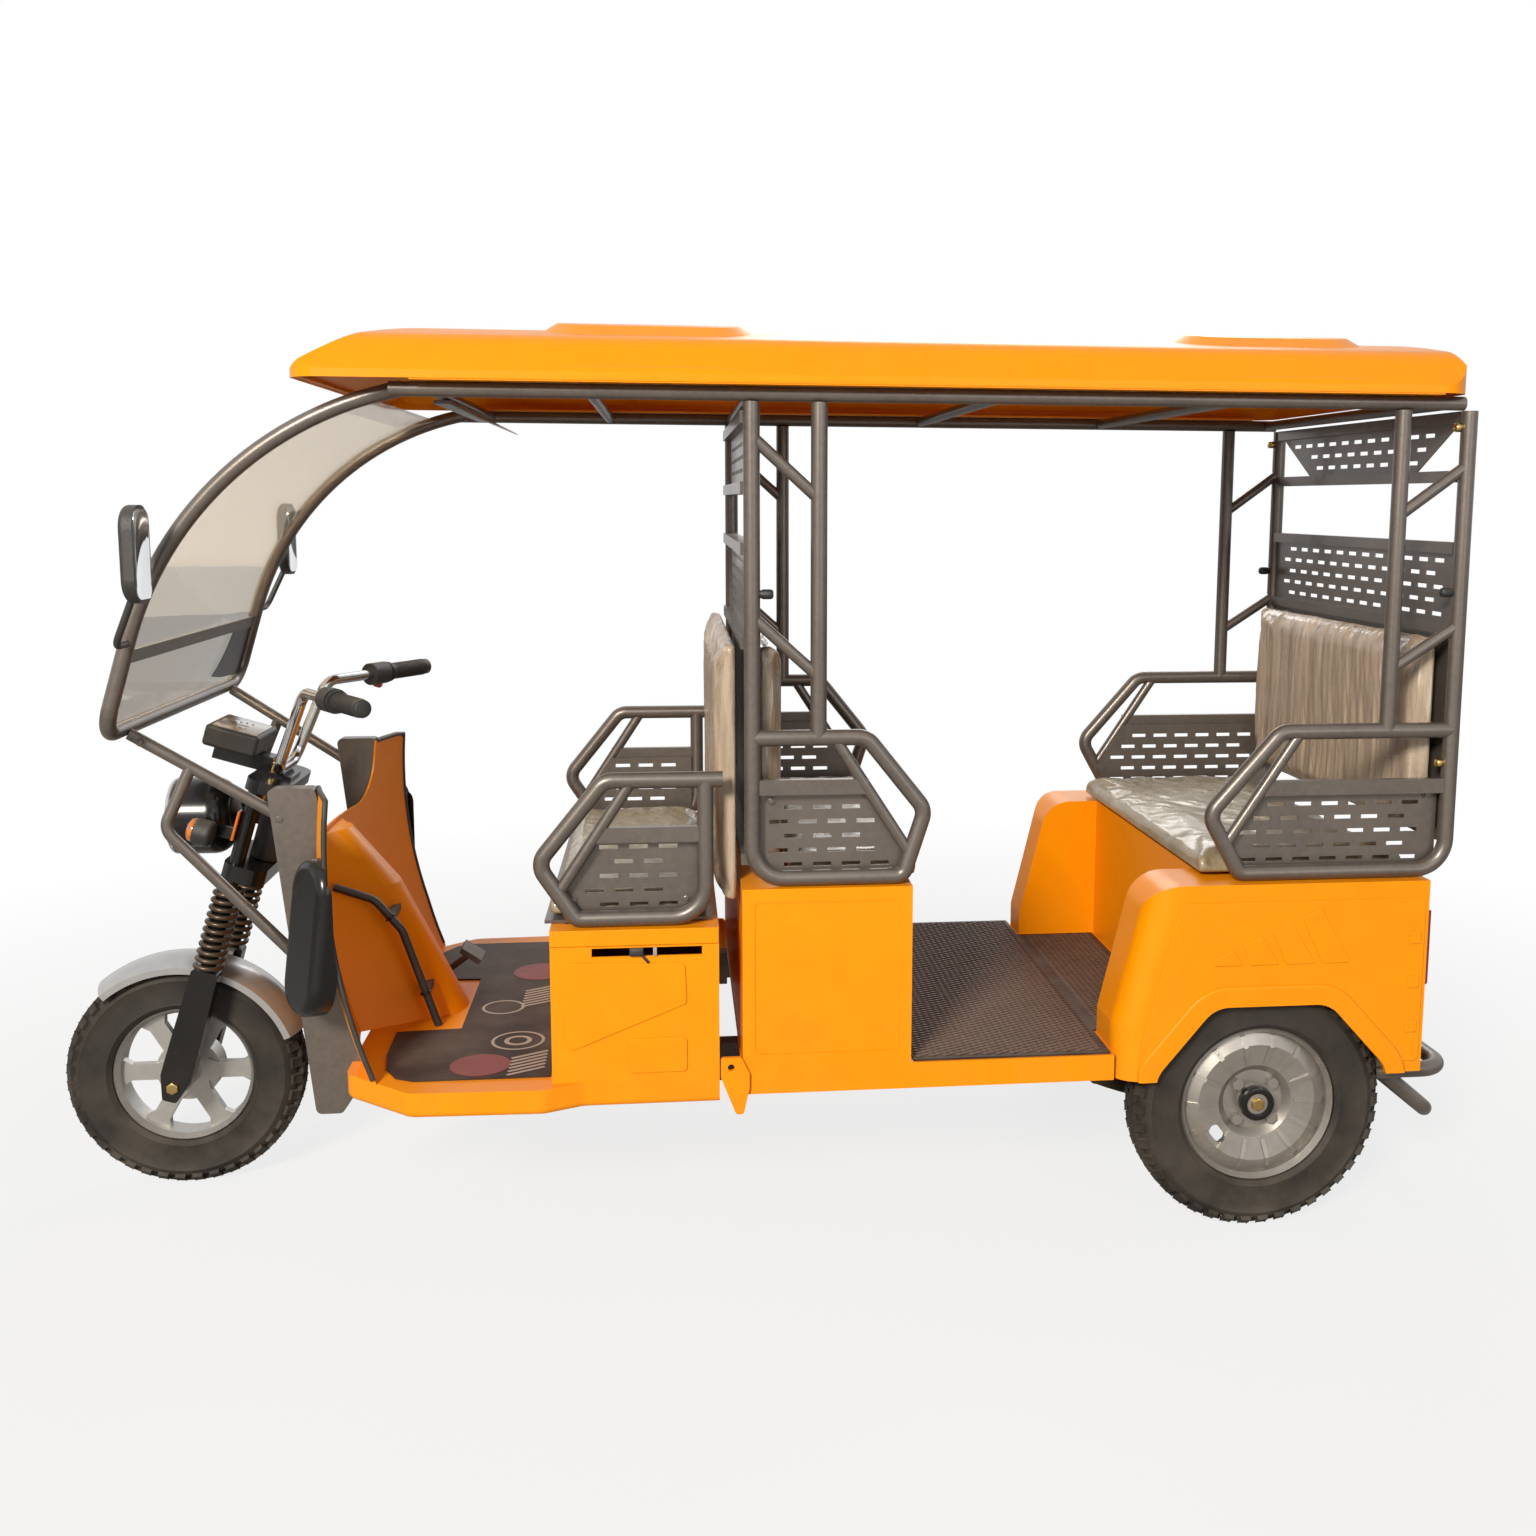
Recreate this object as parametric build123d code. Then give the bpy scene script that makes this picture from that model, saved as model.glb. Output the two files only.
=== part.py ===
from build123d import *
from collections import namedtuple
import math
import os

os.makedirs("parts", exist_ok=True)

# Electric passenger tricycle: X forward, Y to the left, Z up, millimetres, standing on Z = 0.

# Wheels and stance
WHEELBASE = 2140.0
REAR_AXLE_X = -970.0
FRONT_AXLE_X = REAR_AXLE_X + WHEELBASE
FRONT_TYRE_R = 235.0
FRONT_TYRE_WIDTH = 92.0
FRONT_RIM_R = 152.0
REAR_TYRE_R = 250.0
REAR_TYRE_WIDTH = 100.0
REAR_RIM_R = 166.0
REAR_WHEEL_Y = 412.0

# Fits, and how far a cutter reaches past the face that it opens
SEAT_GAP = 0.3
RUN_GAP = 0.1
CUT = 1.0
SHEET = 3.0
WALL = 4.0

# Floors and seat boxes
SIDE_Y = 470.0
FRONT_FLOOR_Z = 355.0
FRONT_FLOOR_X = (81.0, 772.0)
STEP_BULGE_Y = 500.0
FLOOR_Z = 370.0
FLOOR_DEPTH = 50.0
FLOOR_FRONT_X = 40.0
MAT = 4.0
MAT_MARGIN = 6.0
DRIVER_BOX_X = (FRONT_FLOOR_X[0], 387.0)
DRIVER_BOX_TOP = 643.0
MIDDLE_BOX_X = (-278.0, 38.0)
MIDDLE_BOX_TOP = 711.0

# Rear body
REAR_BODY_X = (-1285.0, -672.0)
REAR_BODY_Y = (343.0, 480.0)
REAR_BODY_Z = (318.0, 700.0)
SEAT_FRONT_X = -858.0

# Side frames of bent tube
RAIL_Y = 450.0
RAIL_R = 15.0
BRACE_R = 11.0
LOOP_BEND = 60.0
ARM_BEND = 34.0
FOOT_BEND = 20.0
ROOF_RAIL_Z = 1604.0
ROOF_RAIL_R = 13.0
PILLAR_TOP = ROOF_RAIL_Z - ROOF_RAIL_R - SEAT_GAP
DRIVER_PILLAR_X = 104.0
MIDDLE_PILLAR_X = 18.0
MIDDLE_SECOND_X = -103.0
REAR_PILLAR_X = -1325.0
REAR_SECOND_X = -1195.0

# Roof
ROOF_X = (-1313.0, 805.0)
ROOF_HALF = 494.0
ROOF_EDGE_Z = ROOF_RAIL_Z + ROOF_RAIL_R + 3.0
ROOF_LIP = 14.0
ROOF_SHOULDER_Y = 442.0
ROOF_SHOULDER_RISE = 77.0
ROOF_RISE = 122.0
ROOF_WALL = 5.0

# Windscreen
SCREEN_Y = 422.0
SCREEN_R = 14.0
SCREEN_FOOT = (1152.0, 1000.0)
SCREEN_BEND = (1101.0, 1170.0)
SCREEN_TOP = (622.0, 1607.0)
SCREEN_GLASS = 4.0
SCREEN_BAND_Z = (1126.0, 1150.0)

# Steering, in a frame that leans back by the rake, with its origin below the fork
RAKE = 17.0
FORK_OFFSET = 35.0
FORK_LEG_Y = 90.0
FORK_TUBE_R = 15.0
HEAD_Z = (480.0, 630.0)
HEAD_R = 32.0
STEM_R = 20.0
FRONT_AXLE_R = 8.0
BAR_R = 11.0
LAMP_R = 78.0

# Cushions
CUSHION_CLEAR = 9.0
CUSHION_HALF = RAIL_Y - RAIL_R - CUSHION_CLEAR
CUSHION = 48.0


def box(x, y, z):
    centre = [(low + high) / 2 for low, high in (x, y, z)]
    return Pos(*centre) * Box(*[abs(high - low) for low, high in (x, y, z)])


def wide_box(x, half, z):
    return box(x, (-half, half), z)


def tube(points, radius, bends=()):
    points = [tuple(point) for point in points]
    if len(points) == 2:
        path = Line(*points)
    else:
        path = FilletPolyline(*points, radius=bends)
    return sweep(Plane(origin=path @ 0, z_dir=path % 0) * Circle(radius), path=path)


def side_tube(points, radius, bends=(), y=RAIL_Y):
    return tube([(x, y, z) for x, z in points], radius, bends)


def bar(start, end, radius, bore=0.0):
    axis = Vector(*end) - Vector(*start)
    place = Plane(origin=start, z_dir=axis)
    ring = Circle(radius) - Circle(bore) if bore else Circle(radius)
    return extrude(place * ring, amount=axis.length)


def outline(corners, y):
    return make_face(Polyline(*[(x, y, z) for x, z in corners], close=True))


def plate(corners, y, rounding=0.0):
    face = outline(corners, y[0])
    if rounding:
        face = fillet(face.vertices(), rounding)
    return extrude(face, amount=y[1] - y[0], dir=(0, 1, 0))


def pair(solid):
    return [solid, mirror(solid, about=Plane.XZ)]


def fuse(solid, others):
    for other in others:
        solid += other
    return solid


def save(name, *solids):
    pieces = [piece for solid in solids for piece in solid.solids()]
    export_step(pieces[0] if len(pieces) == 1 else Compound(children=pieces), f"parts/{name}.step")


# Chassis: two rails with cross members, down tube, steering head, hangers for the leaf springs
CHASSIS_RAIL_Y = (280.0, 320.0)
CHASSIS_RAIL_DEPTH = 60.0
CHASSIS_JOIN_X = (40.0, 78.0)
CHASSIS_FRONT_X = 700.0
CROSS_MEMBERS = (660.0, 300.0, -100.0, -620.0, -1250.0)
CROSS_WIDTH = 40.0
DOWN_TUBE_R = 25.0
DOWN_TUBE_FOOT_Z = 320.0
DOWN_TUBE_JOIN = 80.0
SPRING_HALF_SPAN = 290.0
SPRING_EYE_R = 14.0
SPRING_EYE_Z = 268.0
HANGER = 36.0
HANGER_LAP = 40.0
CHASSIS_REAR_X = REAR_AXLE_X - SPRING_HALF_SPAN - HANGER / 2
BUMPER_BEAM_Z = (301.3, 317.0)
BUMPER_BEAM_HALF = 408.0

rake = math.radians(RAKE)
fork_foot = (
    FRONT_AXLE_X - FORK_OFFSET * math.cos(rake),
    0,
    FRONT_TYRE_R - FORK_OFFSET * math.sin(rake),
)
steer = Location(fork_foot, (0, -RAKE, 0))
head = steer * bar((0, 0, HEAD_Z[0]), (0, 0, HEAD_Z[1]), HEAD_R)
head_bore = steer * bar((0, 0, HEAD_Z[0] - CUT), (0, 0, HEAD_Z[1] + CUT), STEM_R + RUN_GAP)
head_joint = steer * Pos(0, 0, HEAD_Z[0] + DOWN_TUBE_JOIN)
down_tube_ends = ((CROSS_MEMBERS[0], 0, DOWN_TUBE_FOOT_Z), tuple(head_joint.position))
down_tube_way = bar(*down_tube_ends, DOWN_TUBE_R + CUT)

front_top = FRONT_FLOOR_Z - WALL - SEAT_GAP
rear_top = FLOOR_Z - WALL - SEAT_GAP
front_rail_z = (front_top - CHASSIS_RAIL_DEPTH, front_top)
rear_rail_z = (rear_top - CHASSIS_RAIL_DEPTH, rear_top)


def around(x, width):
    return (x - width / 2, x + width / 2)


chassis = bar(*down_tube_ends, DOWN_TUBE_R) + head - head_bore
chassis = fuse(chassis, pair(box((CHASSIS_JOIN_X[0], CHASSIS_FRONT_X), CHASSIS_RAIL_Y, front_rail_z)))
chassis = fuse(chassis, pair(box((CHASSIS_REAR_X, CHASSIS_JOIN_X[1]), CHASSIS_RAIL_Y, rear_rail_z)))
for x in CROSS_MEMBERS:
    z = front_rail_z if x > CHASSIS_JOIN_X[1] else rear_rail_z
    chassis += wide_box(around(x, CROSS_WIDTH), CHASSIS_RAIL_Y[1], z)
chassis += wide_box(around(CROSS_MEMBERS[-1], CROSS_WIDTH), BUMPER_BEAM_HALF, BUMPER_BEAM_Z)
for end in (-SPRING_HALF_SPAN, SPRING_HALF_SPAN):
    hanger_z = (SPRING_EYE_Z + SPRING_EYE_R + SEAT_GAP, rear_rail_z[0] + HANGER_LAP)
    chassis = fuse(chassis, pair(box(around(REAR_AXLE_X + end, HANGER), CHASSIS_RAIL_Y, hanger_z)))
save("chassis_frame", chassis)

# Front floor pan with its swelling steps and rounded nose
STEP_X = (330.0, 400.0, 640.0)
STEP_TAPER = 8.0
NOSE_HALF = 380.0
PAN_ROUND = 40.0
PAN_RIM_ROUND = 14.0
PAN_OPEN_X = 120.0
pan_side = [
    (FRONT_FLOOR_X[0], SIDE_Y),
    (STEP_X[0], SIDE_Y),
    (STEP_X[1], STEP_BULGE_Y),
    (STEP_X[2], STEP_BULGE_Y - STEP_TAPER),
    (FRONT_FLOOR_X[1], NOSE_HALF),
]
pan_face = make_face(Polyline(*pan_side, *[(x, -y) for x, y in reversed(pan_side)], close=True))
pan_face = fillet(pan_face.vertices().sort_by(Axis.X)[2:], PAN_ROUND)
pan_bottom = FRONT_FLOOR_Z - FLOOR_DEPTH
floor_pan = Pos(0, 0, pan_bottom) * extrude(pan_face, amount=FLOOR_DEPTH)
pan_rim = floor_pan.faces().sort_by(Axis.Z)[0].edges().sort_by(Axis.X)[1:]
floor_pan = fillet(pan_rim, PAN_RIM_ROUND)
cavity_depth = FLOOR_DEPTH - WALL + CUT
cavity = Pos(0, 0, pan_bottom - CUT) * extrude(offset(pan_face, -WALL), amount=cavity_depth)
cavity_end = (FRONT_FLOOR_X[0] - CUT, PAN_OPEN_X)
cavity += wide_box(cavity_end, SIDE_Y - WALL, (pan_bottom - CUT, FRONT_FLOOR_Z - WALL))
save("front_floor_pan", floor_pan - cavity - down_tube_way)

# Passenger floor with side sills, and the lugs that join the two halves of the body
LUG_THICK = 8.0
LUG_HOLE_R = 6.5
LUG_AT = (60.0, 376.0)
LUG_EYE = 19.0
LUG_TIP = (44.0, 285.0)
LUG_TIP_HALF = 7.0
LUG_ROOT = (26.0, 335.0)
LUG_ROUND = 6.0
floor_bottom = FLOOR_Z - FLOOR_DEPTH
FLOOR_X = (REAR_BODY_X[1] + SEAT_GAP, FLOOR_FRONT_X)
past_floor = (FLOOR_X[0] - CUT, FLOOR_X[1] + CUT)
passenger_floor = wide_box(FLOOR_X, SIDE_Y, (floor_bottom, FLOOR_Z))
passenger_floor -= wide_box(past_floor, SIDE_Y - WALL, (floor_bottom - CUT, FLOOR_Z - WALL))
passenger_floor += wide_box((SEAT_FRONT_X, FLOOR_X[0]), REAR_BODY_Y[0] - SEAT_GAP, (FLOOR_Z - WALL, FLOOR_Z))
lug_outline = [
    (LUG_TIP[0] - LUG_TIP_HALF, LUG_TIP[1]),
    (LUG_TIP[0] + LUG_TIP_HALF, LUG_TIP[1]),
    (LUG_AT[0] + LUG_EYE, LUG_AT[1] - LUG_EYE),
    (LUG_AT[0] + LUG_EYE, LUG_AT[1] + LUG_EYE),
    (LUG_AT[0] - LUG_EYE, LUG_AT[1] + LUG_EYE),
    (LUG_ROOT[0], FLOOR_Z - LUG_ROUND),
    LUG_ROOT,
]
lug_y = (SIDE_Y, SIDE_Y + LUG_THICK)
lug = plate(lug_outline, lug_y, LUG_ROUND)
lug -= bar((LUG_AT[0], lug_y[0] - CUT, LUG_AT[1]), (LUG_AT[0], lug_y[1] + CUT, LUG_AT[1]), LUG_HOLE_R)
save("passenger_floor", fuse(passenger_floor, pair(lug)))

# Mats
FRONT_MAT_X = (DRIVER_BOX_X[1] + MAT_MARGIN, 590.0)
FRONT_MAT_HALF = 436.0
front_mat = wide_box(FRONT_MAT_X, FRONT_MAT_HALF, (FRONT_FLOOR_Z, FRONT_FLOOR_Z + MAT))
rear_mat_z = (FLOOR_Z, FLOOR_Z + MAT)
rear_mat_x = (FLOOR_X[0] + MAT_MARGIN, MIDDLE_BOX_X[0] - MAT_MARGIN)
rear_mat = wide_box(rear_mat_x, SIDE_Y - MAT_MARGIN, rear_mat_z)
back_mat_x = (SEAT_FRONT_X + MAT_MARGIN, rear_mat_x[0] + CUT)
rear_mat += wide_box(back_mat_x, REAR_BODY_Y[0] - MAT_MARGIN, rear_mat_z)
save("floor_mats", front_mat, rear_mat)

# Leg shield: a sheet bowed in plan and in height, cut to its front outline with a notch for the bars
SHIELD_AXIS = (-310.0, 739.0)
SHIELD_EDGE_R = 1090.0
SHIELD_MIDDLE_R = 1178.0
SHIELD_EDGE_HALF = 440.0
SHIELD_FOOT_HALF = 448.0
SHIELD_HEAD_HALF = 406.0
SHIELD_TOP = 880.0
SHIELD_CORNER = 34.0
SHIELD_SPAN = (-24.0, 12.0)
NOTCH_HALF = 280.0
NOTCH_Z = 752.0
NOTCH_ROUND = 90.0


def bowed_block(behind, before):
    """The bowed sheet, from one depth behind its front face to one before it."""
    rims = []
    for depth in (-behind, before):
        edge = SHIELD_AXIS[0] + SHIELD_EDGE_R + depth
        middle = SHIELD_AXIS[0] + SHIELD_MIDDLE_R + depth
        ends = [(edge, side * SHIELD_EDGE_HALF, SHIELD_AXIS[1]) for side in (1, -1)]
        rims.append(ThreePointArc(ends[0], (middle, 0, SHIELD_AXIS[1]), ends[1]))
    ends = [Line(rims[0] @ end, rims[1] @ end) for end in (0, 1)]
    section = make_face(Wire.combine(rims + ends)[0])
    hinge = Axis((SHIELD_AXIS[0], 0, SHIELD_AXIS[1]), (0, 1, 0))
    return revolve(section.rotate(hinge, -SHIELD_SPAN[1]), hinge, SHIELD_SPAN[1] - SHIELD_SPAN[0])


shield_front = Polyline(
    (0, -SHIELD_FOOT_HALF, FRONT_FLOOR_Z + SEAT_GAP),
    (0, -SHIELD_HEAD_HALF, SHIELD_TOP),
    (0, SHIELD_HEAD_HALF, SHIELD_TOP),
    (0, SHIELD_FOOT_HALF, FRONT_FLOOR_Z + SEAT_GAP),
    close=True,
)
shield_face = make_face(shield_front)
shield_face = fillet(shield_face.vertices().sort_by(Axis.Z)[-2:], SHIELD_CORNER)
notch = RectangleRounded(2 * NOTCH_HALF, 2 * (SHIELD_TOP - NOTCH_Z), NOTCH_ROUND)
shield_face -= Plane.YZ * Pos(0, SHIELD_TOP) * notch
shield_outline = extrude(shield_face, amount=FRONT_AXLE_X, dir=(1, 0, 0))
leg_shield = bowed_block(WALL, 0) & shield_outline
save("leg_shield", leg_shield - down_tube_way)

# Tunnel over the down tube, narrowing to its ridge, seated on the floor and against the shield
TUNNEL = (
    # height, x of the ridge, half width of the ridge, x of the back, half width of the back
    (FRONT_FLOOR_Z + SEAT_GAP, 596.0, 62.0, 812.0, 165.0),
    (628.0, 728.0, 54.0, 866.0, 140.0),
    (745.0, 822.0, 46.0, 872.0, 112.0),
)
RIDGE_ROUND = 22.0


def tunnel_solid(inset):
    sections = []
    for number, (z, ridge_x, ridge_half, back_x, back_half) in enumerate(TUNNEL):
        z -= inset if number else CUT * bool(inset)
        ridge = ridge_half - inset / 2
        back = back_half - inset
        nose = ThreePointArc(
            (ridge_x + RIDGE_ROUND + inset, ridge, z),
            (ridge_x + inset, 0, z),
            (ridge_x + RIDGE_ROUND + inset, -ridge, z),
        )
        sides = Polyline(nose @ 1, (back_x, -back, z), (back_x, back, z), nose @ 0)
        sections.append(make_face(Wire.combine([nose, *sides.edges()])[0]))
    return loft(sections, ruled=True)


shield_seat = bowed_block(WALL + SEAT_GAP, 120.0)
tunnel = tunnel_solid(0) - tunnel_solid(WALL) - shield_seat
save("steering_tunnel", tunnel.solids().sort_by(SortBy.VOLUME)[-1])

# Bent pipe on the tunnel's left flank, with two clips
PIPE_R = 8.0
PIPE_Y = 128.0
PIPE_PATH = ((836.0, 648.0), (758.0, 620.0), (706.0, 556.0), (640.0, FRONT_FLOOR_Z + SEAT_GAP))
PIPE_BENDS = (40.0, 40.0)
PIPE_CLIPS = ((728.0, 583.0), (664.0, 425.0))
PIPE_CLIP = 14.0
pipe = side_tube(PIPE_PATH, PIPE_R, PIPE_BENDS, PIPE_Y)
for x, z in PIPE_CLIPS:
    pipe += box(around(x, PIPE_CLIP), (0, PIPE_Y), around(z, PIPE_CLIP))
pipe = pipe - tunnel_solid(-SEAT_GAP) - shield_seat
pipe -= wide_box((FRONT_FLOOR_X[0], FRONT_AXLE_X), SIDE_Y, (0, FRONT_FLOOR_Z + SEAT_GAP))
save("tunnel_pipe", pipe.solids().sort_by(SortBy.VOLUME)[-1])

# Front guard: two posts before the shield, with struts up to the screen
GUARD_Y = (285.0, 318.0)
GUARD_PROFILE = (
    (842.0, 253.0),
    (908.0, 884.0),
    (822.0, 884.0),
    (762.0, 600.0),
    (742.0, 330.0),
    (794.0, 253.0),
)
GUARD_ROUND = 12.0
STRUT_R = 11.0
STRUT_Y = 302.0
STRUT_FOOT_Y = 330.0
STRUT_LOW = (880.0, 824.0)
STRUT_JOINT = 190.0
STRUT_KNEE = (1088.0, 815.0)
STRUT_HEEL = (864.0, 553.0)
STRUT_BEND = 34.0
before_shield = bowed_block(2 * WALL + 150.0, SEAT_GAP)
guard_post = plate(GUARD_PROFILE, GUARD_Y, GUARD_ROUND)
strut_low = Vector(STRUT_LOW[0], STRUT_Y, STRUT_LOW[1])
strut_foot = Vector(SCREEN_FOOT[0], STRUT_FOOT_Y, SCREEN_FOOT[1])
strut_way = (strut_foot - strut_low).normalized()
strut_high = strut_foot - strut_way * (SCREEN_R + SEAT_GAP + CUT)
strut_joint = strut_low + strut_way * STRUT_JOINT
guard_left = guard_post + bar(strut_low, strut_high, STRUT_R)
stay = [strut_joint, (STRUT_KNEE[0], STRUT_FOOT_Y, STRUT_KNEE[1]), (STRUT_HEEL[0], STRUT_Y, STRUT_HEEL[1])]
guard_left += tube(stay, STRUT_R, STRUT_BEND)
floor_seat = box((0, FRONT_FLOOR_X[1] + SEAT_GAP), (0, SIDE_Y), (0, FRONT_FLOOR_Z + SEAT_GAP))
save("front_guard", *pair(guard_left - before_shield - floor_seat))

# Lamp pods on the corners of the shield
POD = (124.0, 290.0, 46.0)
POD_AT = (800.0, 384.0, 620.0)
POD_ROUND = 20.0
POD_CORNER = 60.0
pod = extrude(RectangleRounded(POD[0], POD[1], POD_CORNER), amount=POD[2])
pod = fillet(pod.faces().sort_by(Axis.Z)[-1].edges(), POD_ROUND)
pod_place = Plane(origin=POD_AT, x_dir=(-0.62, 0.78, 0), z_dir=(0.775, 0.616, 0.13))
pod = pod_place.location * pod - before_shield
pod -= plate(GUARD_PROFILE, (GUARD_Y[0], GUARD_Y[1] + SEAT_GAP))
save("lamp_pods", *pair(pod))

# Windscreen: bent tube loop with a cross band, and two clear sheets
SCREEN_CORNER = 55.0
SCREEN_BAND = 8.0
SCREEN_SHEET_TOP = 1590.0
SCREEN_TAIL = 20.0
bend = Vector(SCREEN_BEND[0], SCREEN_Y, SCREEN_BEND[1])
foot = Vector(SCREEN_FOOT[0], SCREEN_Y, SCREEN_FOOT[1])
top = Vector(SCREEN_TOP[0], SCREEN_Y, SCREEN_TOP[1])
rise = (bend - foot).normalized()


def across(point):
    return Vector(point.X, -point.Y, point.Z)


left_arc = TangentArc(bend, top, tangent=rise)
right_arc = TangentArc(across(bend), across(top), tangent=rise)
loop = FilletPolyline(bend, foot, across(foot), across(bend), radius=SCREEN_CORNER)
loop_wire = Wire.combine([left_arc, *loop.edges(), right_arc])[0]
screen_frame = sweep(Plane(origin=loop_wire @ 0, z_dir=loop_wire % 0) * Circle(SCREEN_R), path=loop_wire)


def screen_sheet(thick, z, half):
    centre = left_arc.arc_center
    normal = Vector(rise.Z, 0, -rise.X)
    edges = []
    for side in (-thick / 2, thick / 2):
        low = foot + normal * side - rise * SCREEN_TAIL
        mid = bend + normal * side
        end = centre + (top - centre).normalized() * ((bend - centre).length + side)
        low, mid, end = [Vector(point.X, -half, point.Z) for point in (low, mid, end)]
        edges.append([Line(low, mid), TangentArc(mid, end, tangent=rise)])
    caps = [Line(edges[0][0] @ 0, edges[1][0] @ 0), Line(edges[0][1] @ 1, edges[1][1] @ 1)]
    face = make_face(Wire.combine(edges[0] + edges[1] + caps)[0])
    sheet = extrude(face, amount=2 * half, dir=(0, 1, 0))
    return sheet & wide_box((0, 2 * SCREEN_FOOT[0]), half + CUT, z)


screen_inside = SCREEN_Y - SCREEN_R - SEAT_GAP
screen_frame += screen_sheet(SCREEN_BAND, SCREEN_BAND_Z, SCREEN_Y - SCREEN_BAND / 2)
save("windscreen_frame", screen_frame)
sheet_heights = (
    (SCREEN_BAND_Z[1] + SEAT_GAP, SCREEN_SHEET_TOP),
    (SCREEN_FOOT[1], SCREEN_BAND_Z[0] - SEAT_GAP),
)
screen_sheets = []
for z in sheet_heights:
    sheet = screen_sheet(SCREEN_GLASS, z, screen_inside) - screen_frame
    screen_sheets.append(sheet.solids().sort_by(SortBy.VOLUME)[-1])
save("windscreen_sheets", *screen_sheets)

# Mirrors on stalks
MIRROR = (88.0, 164.0, 24.0)
MIRROR_AT = (1040.0, 512.0, 1322.0)
MIRROR_CORNER = 40.0
MIRROR_BACK = 10.0
STALK_R = 6.0
STALK_FOOT = (1098.0, 1165.0)
STALK_KNEE_Y = 494.0
STALK_BEND = 24.0
mirror_head = Plane.YZ * extrude(RectangleRounded(MIRROR[0], MIRROR[1], MIRROR_CORNER), amount=MIRROR[2])
mirror_head = fillet(mirror_head.faces().sort_by(Axis.X)[-1].edges(), MIRROR_BACK)
mirror_head = Pos(*MIRROR_AT) * mirror_head
stalk = tube(
    [
        (STALK_FOOT[0], SCREEN_Y + SCREEN_R + SEAT_GAP, STALK_FOOT[1]),
        (STALK_FOOT[0], STALK_KNEE_Y, STALK_FOOT[1]),
        (MIRROR_AT[0] + MIRROR[2] / 2, MIRROR_AT[1], MIRROR_AT[2] - MIRROR[1] / 3),
    ],
    STALK_R,
    STALK_BEND,
)
save("mirrors", *pair(mirror_head + stalk))

# Roof panel: pressed shell with rounded shoulders, a lip, a falling nose and two raised fields
ROOF_BULGE = 14.0
ROOF_BULGES = ((194.0, 330.0), (-984.0, 310.0))
ROOF_BULGE_WIDTH = 660.0
ROOF_BULGE_CORNER = 60.0
ROOF_BULGE_SLOPE = 58.0
ROOF_TAIL = (51.0, 42.0)
ROOF_TAIL_ROUND = 60.0
ROOF_NOSE_START = 430.0
ROOF_SHOULDER_ROUND = 70.0
ROOF_PLAN_ROUND = 60.0
ROOF_FLANGE_FRONT = 600.0
ROOF_FLANGE = (8.0, 2.0)
roof_crown = ROOF_EDGE_Z + ROOF_RISE
roof_side_top = roof_crown + ROOF_BULGE + CUT
roof_length = ROOF_X[1] - ROOF_X[0]
roof_middle = sum(ROOF_X) / 2


def roof_solid(inset, lift=0.0):
    foot_z = ROOF_EDGE_Z - 2 * inset
    half = ROOF_HALF - inset
    shoulder = (ROOF_SHOULDER_Y - inset, ROOF_EDGE_Z + ROOF_SHOULDER_RISE - inset + lift)
    sides = []
    for side in (-1, 1):
        points = [(shoulder[0], shoulder[1]), (half, ROOF_EDGE_Z + ROOF_LIP), (half, foot_z)]
        sides.append(Polyline(*[(0, side * y, z) for y, z in points]))
    crown = ThreePointArc(sides[0] @ 0, (0, 0, roof_crown - inset + lift), sides[1] @ 0)
    rim = Line(sides[0] @ 1, sides[1] @ 1)
    face = make_face(Wire.combine([*sides[0].edges(), *sides[1].edges(), crown, rim])[0])
    corners = [v for v in face.vertices() if abs(v.Z - shoulder[1]) < CUT]
    face = fillet(corners, ROOF_SHOULDER_ROUND - inset)
    section = extrude(Pos(ROOF_X[0] - CUT, 0, 0) * face, amount=roof_length + 2 * CUT, dir=(1, 0, 0))
    tail = Polyline(
        (ROOF_X[1], 0, ROOF_EDGE_Z),
        (ROOF_X[0], 0, ROOF_EDGE_Z),
        (ROOF_X[0], 0, ROOF_EDGE_Z + ROOF_TAIL[1]),
        (ROOF_X[0] + ROOF_TAIL[0], 0, roof_side_top),
        (ROOF_NOSE_START, 0, roof_side_top),
    )
    nose = TangentArc(tail @ 1, (ROOF_X[1], 0, ROOF_EDGE_Z + ROOF_LIP), tangent=(1, 0, 0))
    side_face = make_face(Wire.combine([*tail.edges(), nose, Line(nose @ 1, tail @ 0)])[0])
    side_face = fillet(side_face.vertices().sort_by(Axis.Z)[-2:].sort_by(Axis.X)[0], ROOF_TAIL_ROUND)
    if inset:
        side_face = offset(side_face, -inset)
        side_face += Pos(0, 0, -2 * inset) * side_face
    plan = RectangleRounded(roof_length + 2 * CUT - 2 * inset, 2 * half, ROOF_PLAN_ROUND - inset)
    plan_block = Pos(roof_middle, 0, foot_z) * extrude(plan, amount=roof_side_top)
    return section & extrude(side_face, amount=ROOF_HALF + CUT, both=True) & plan_block


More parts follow.
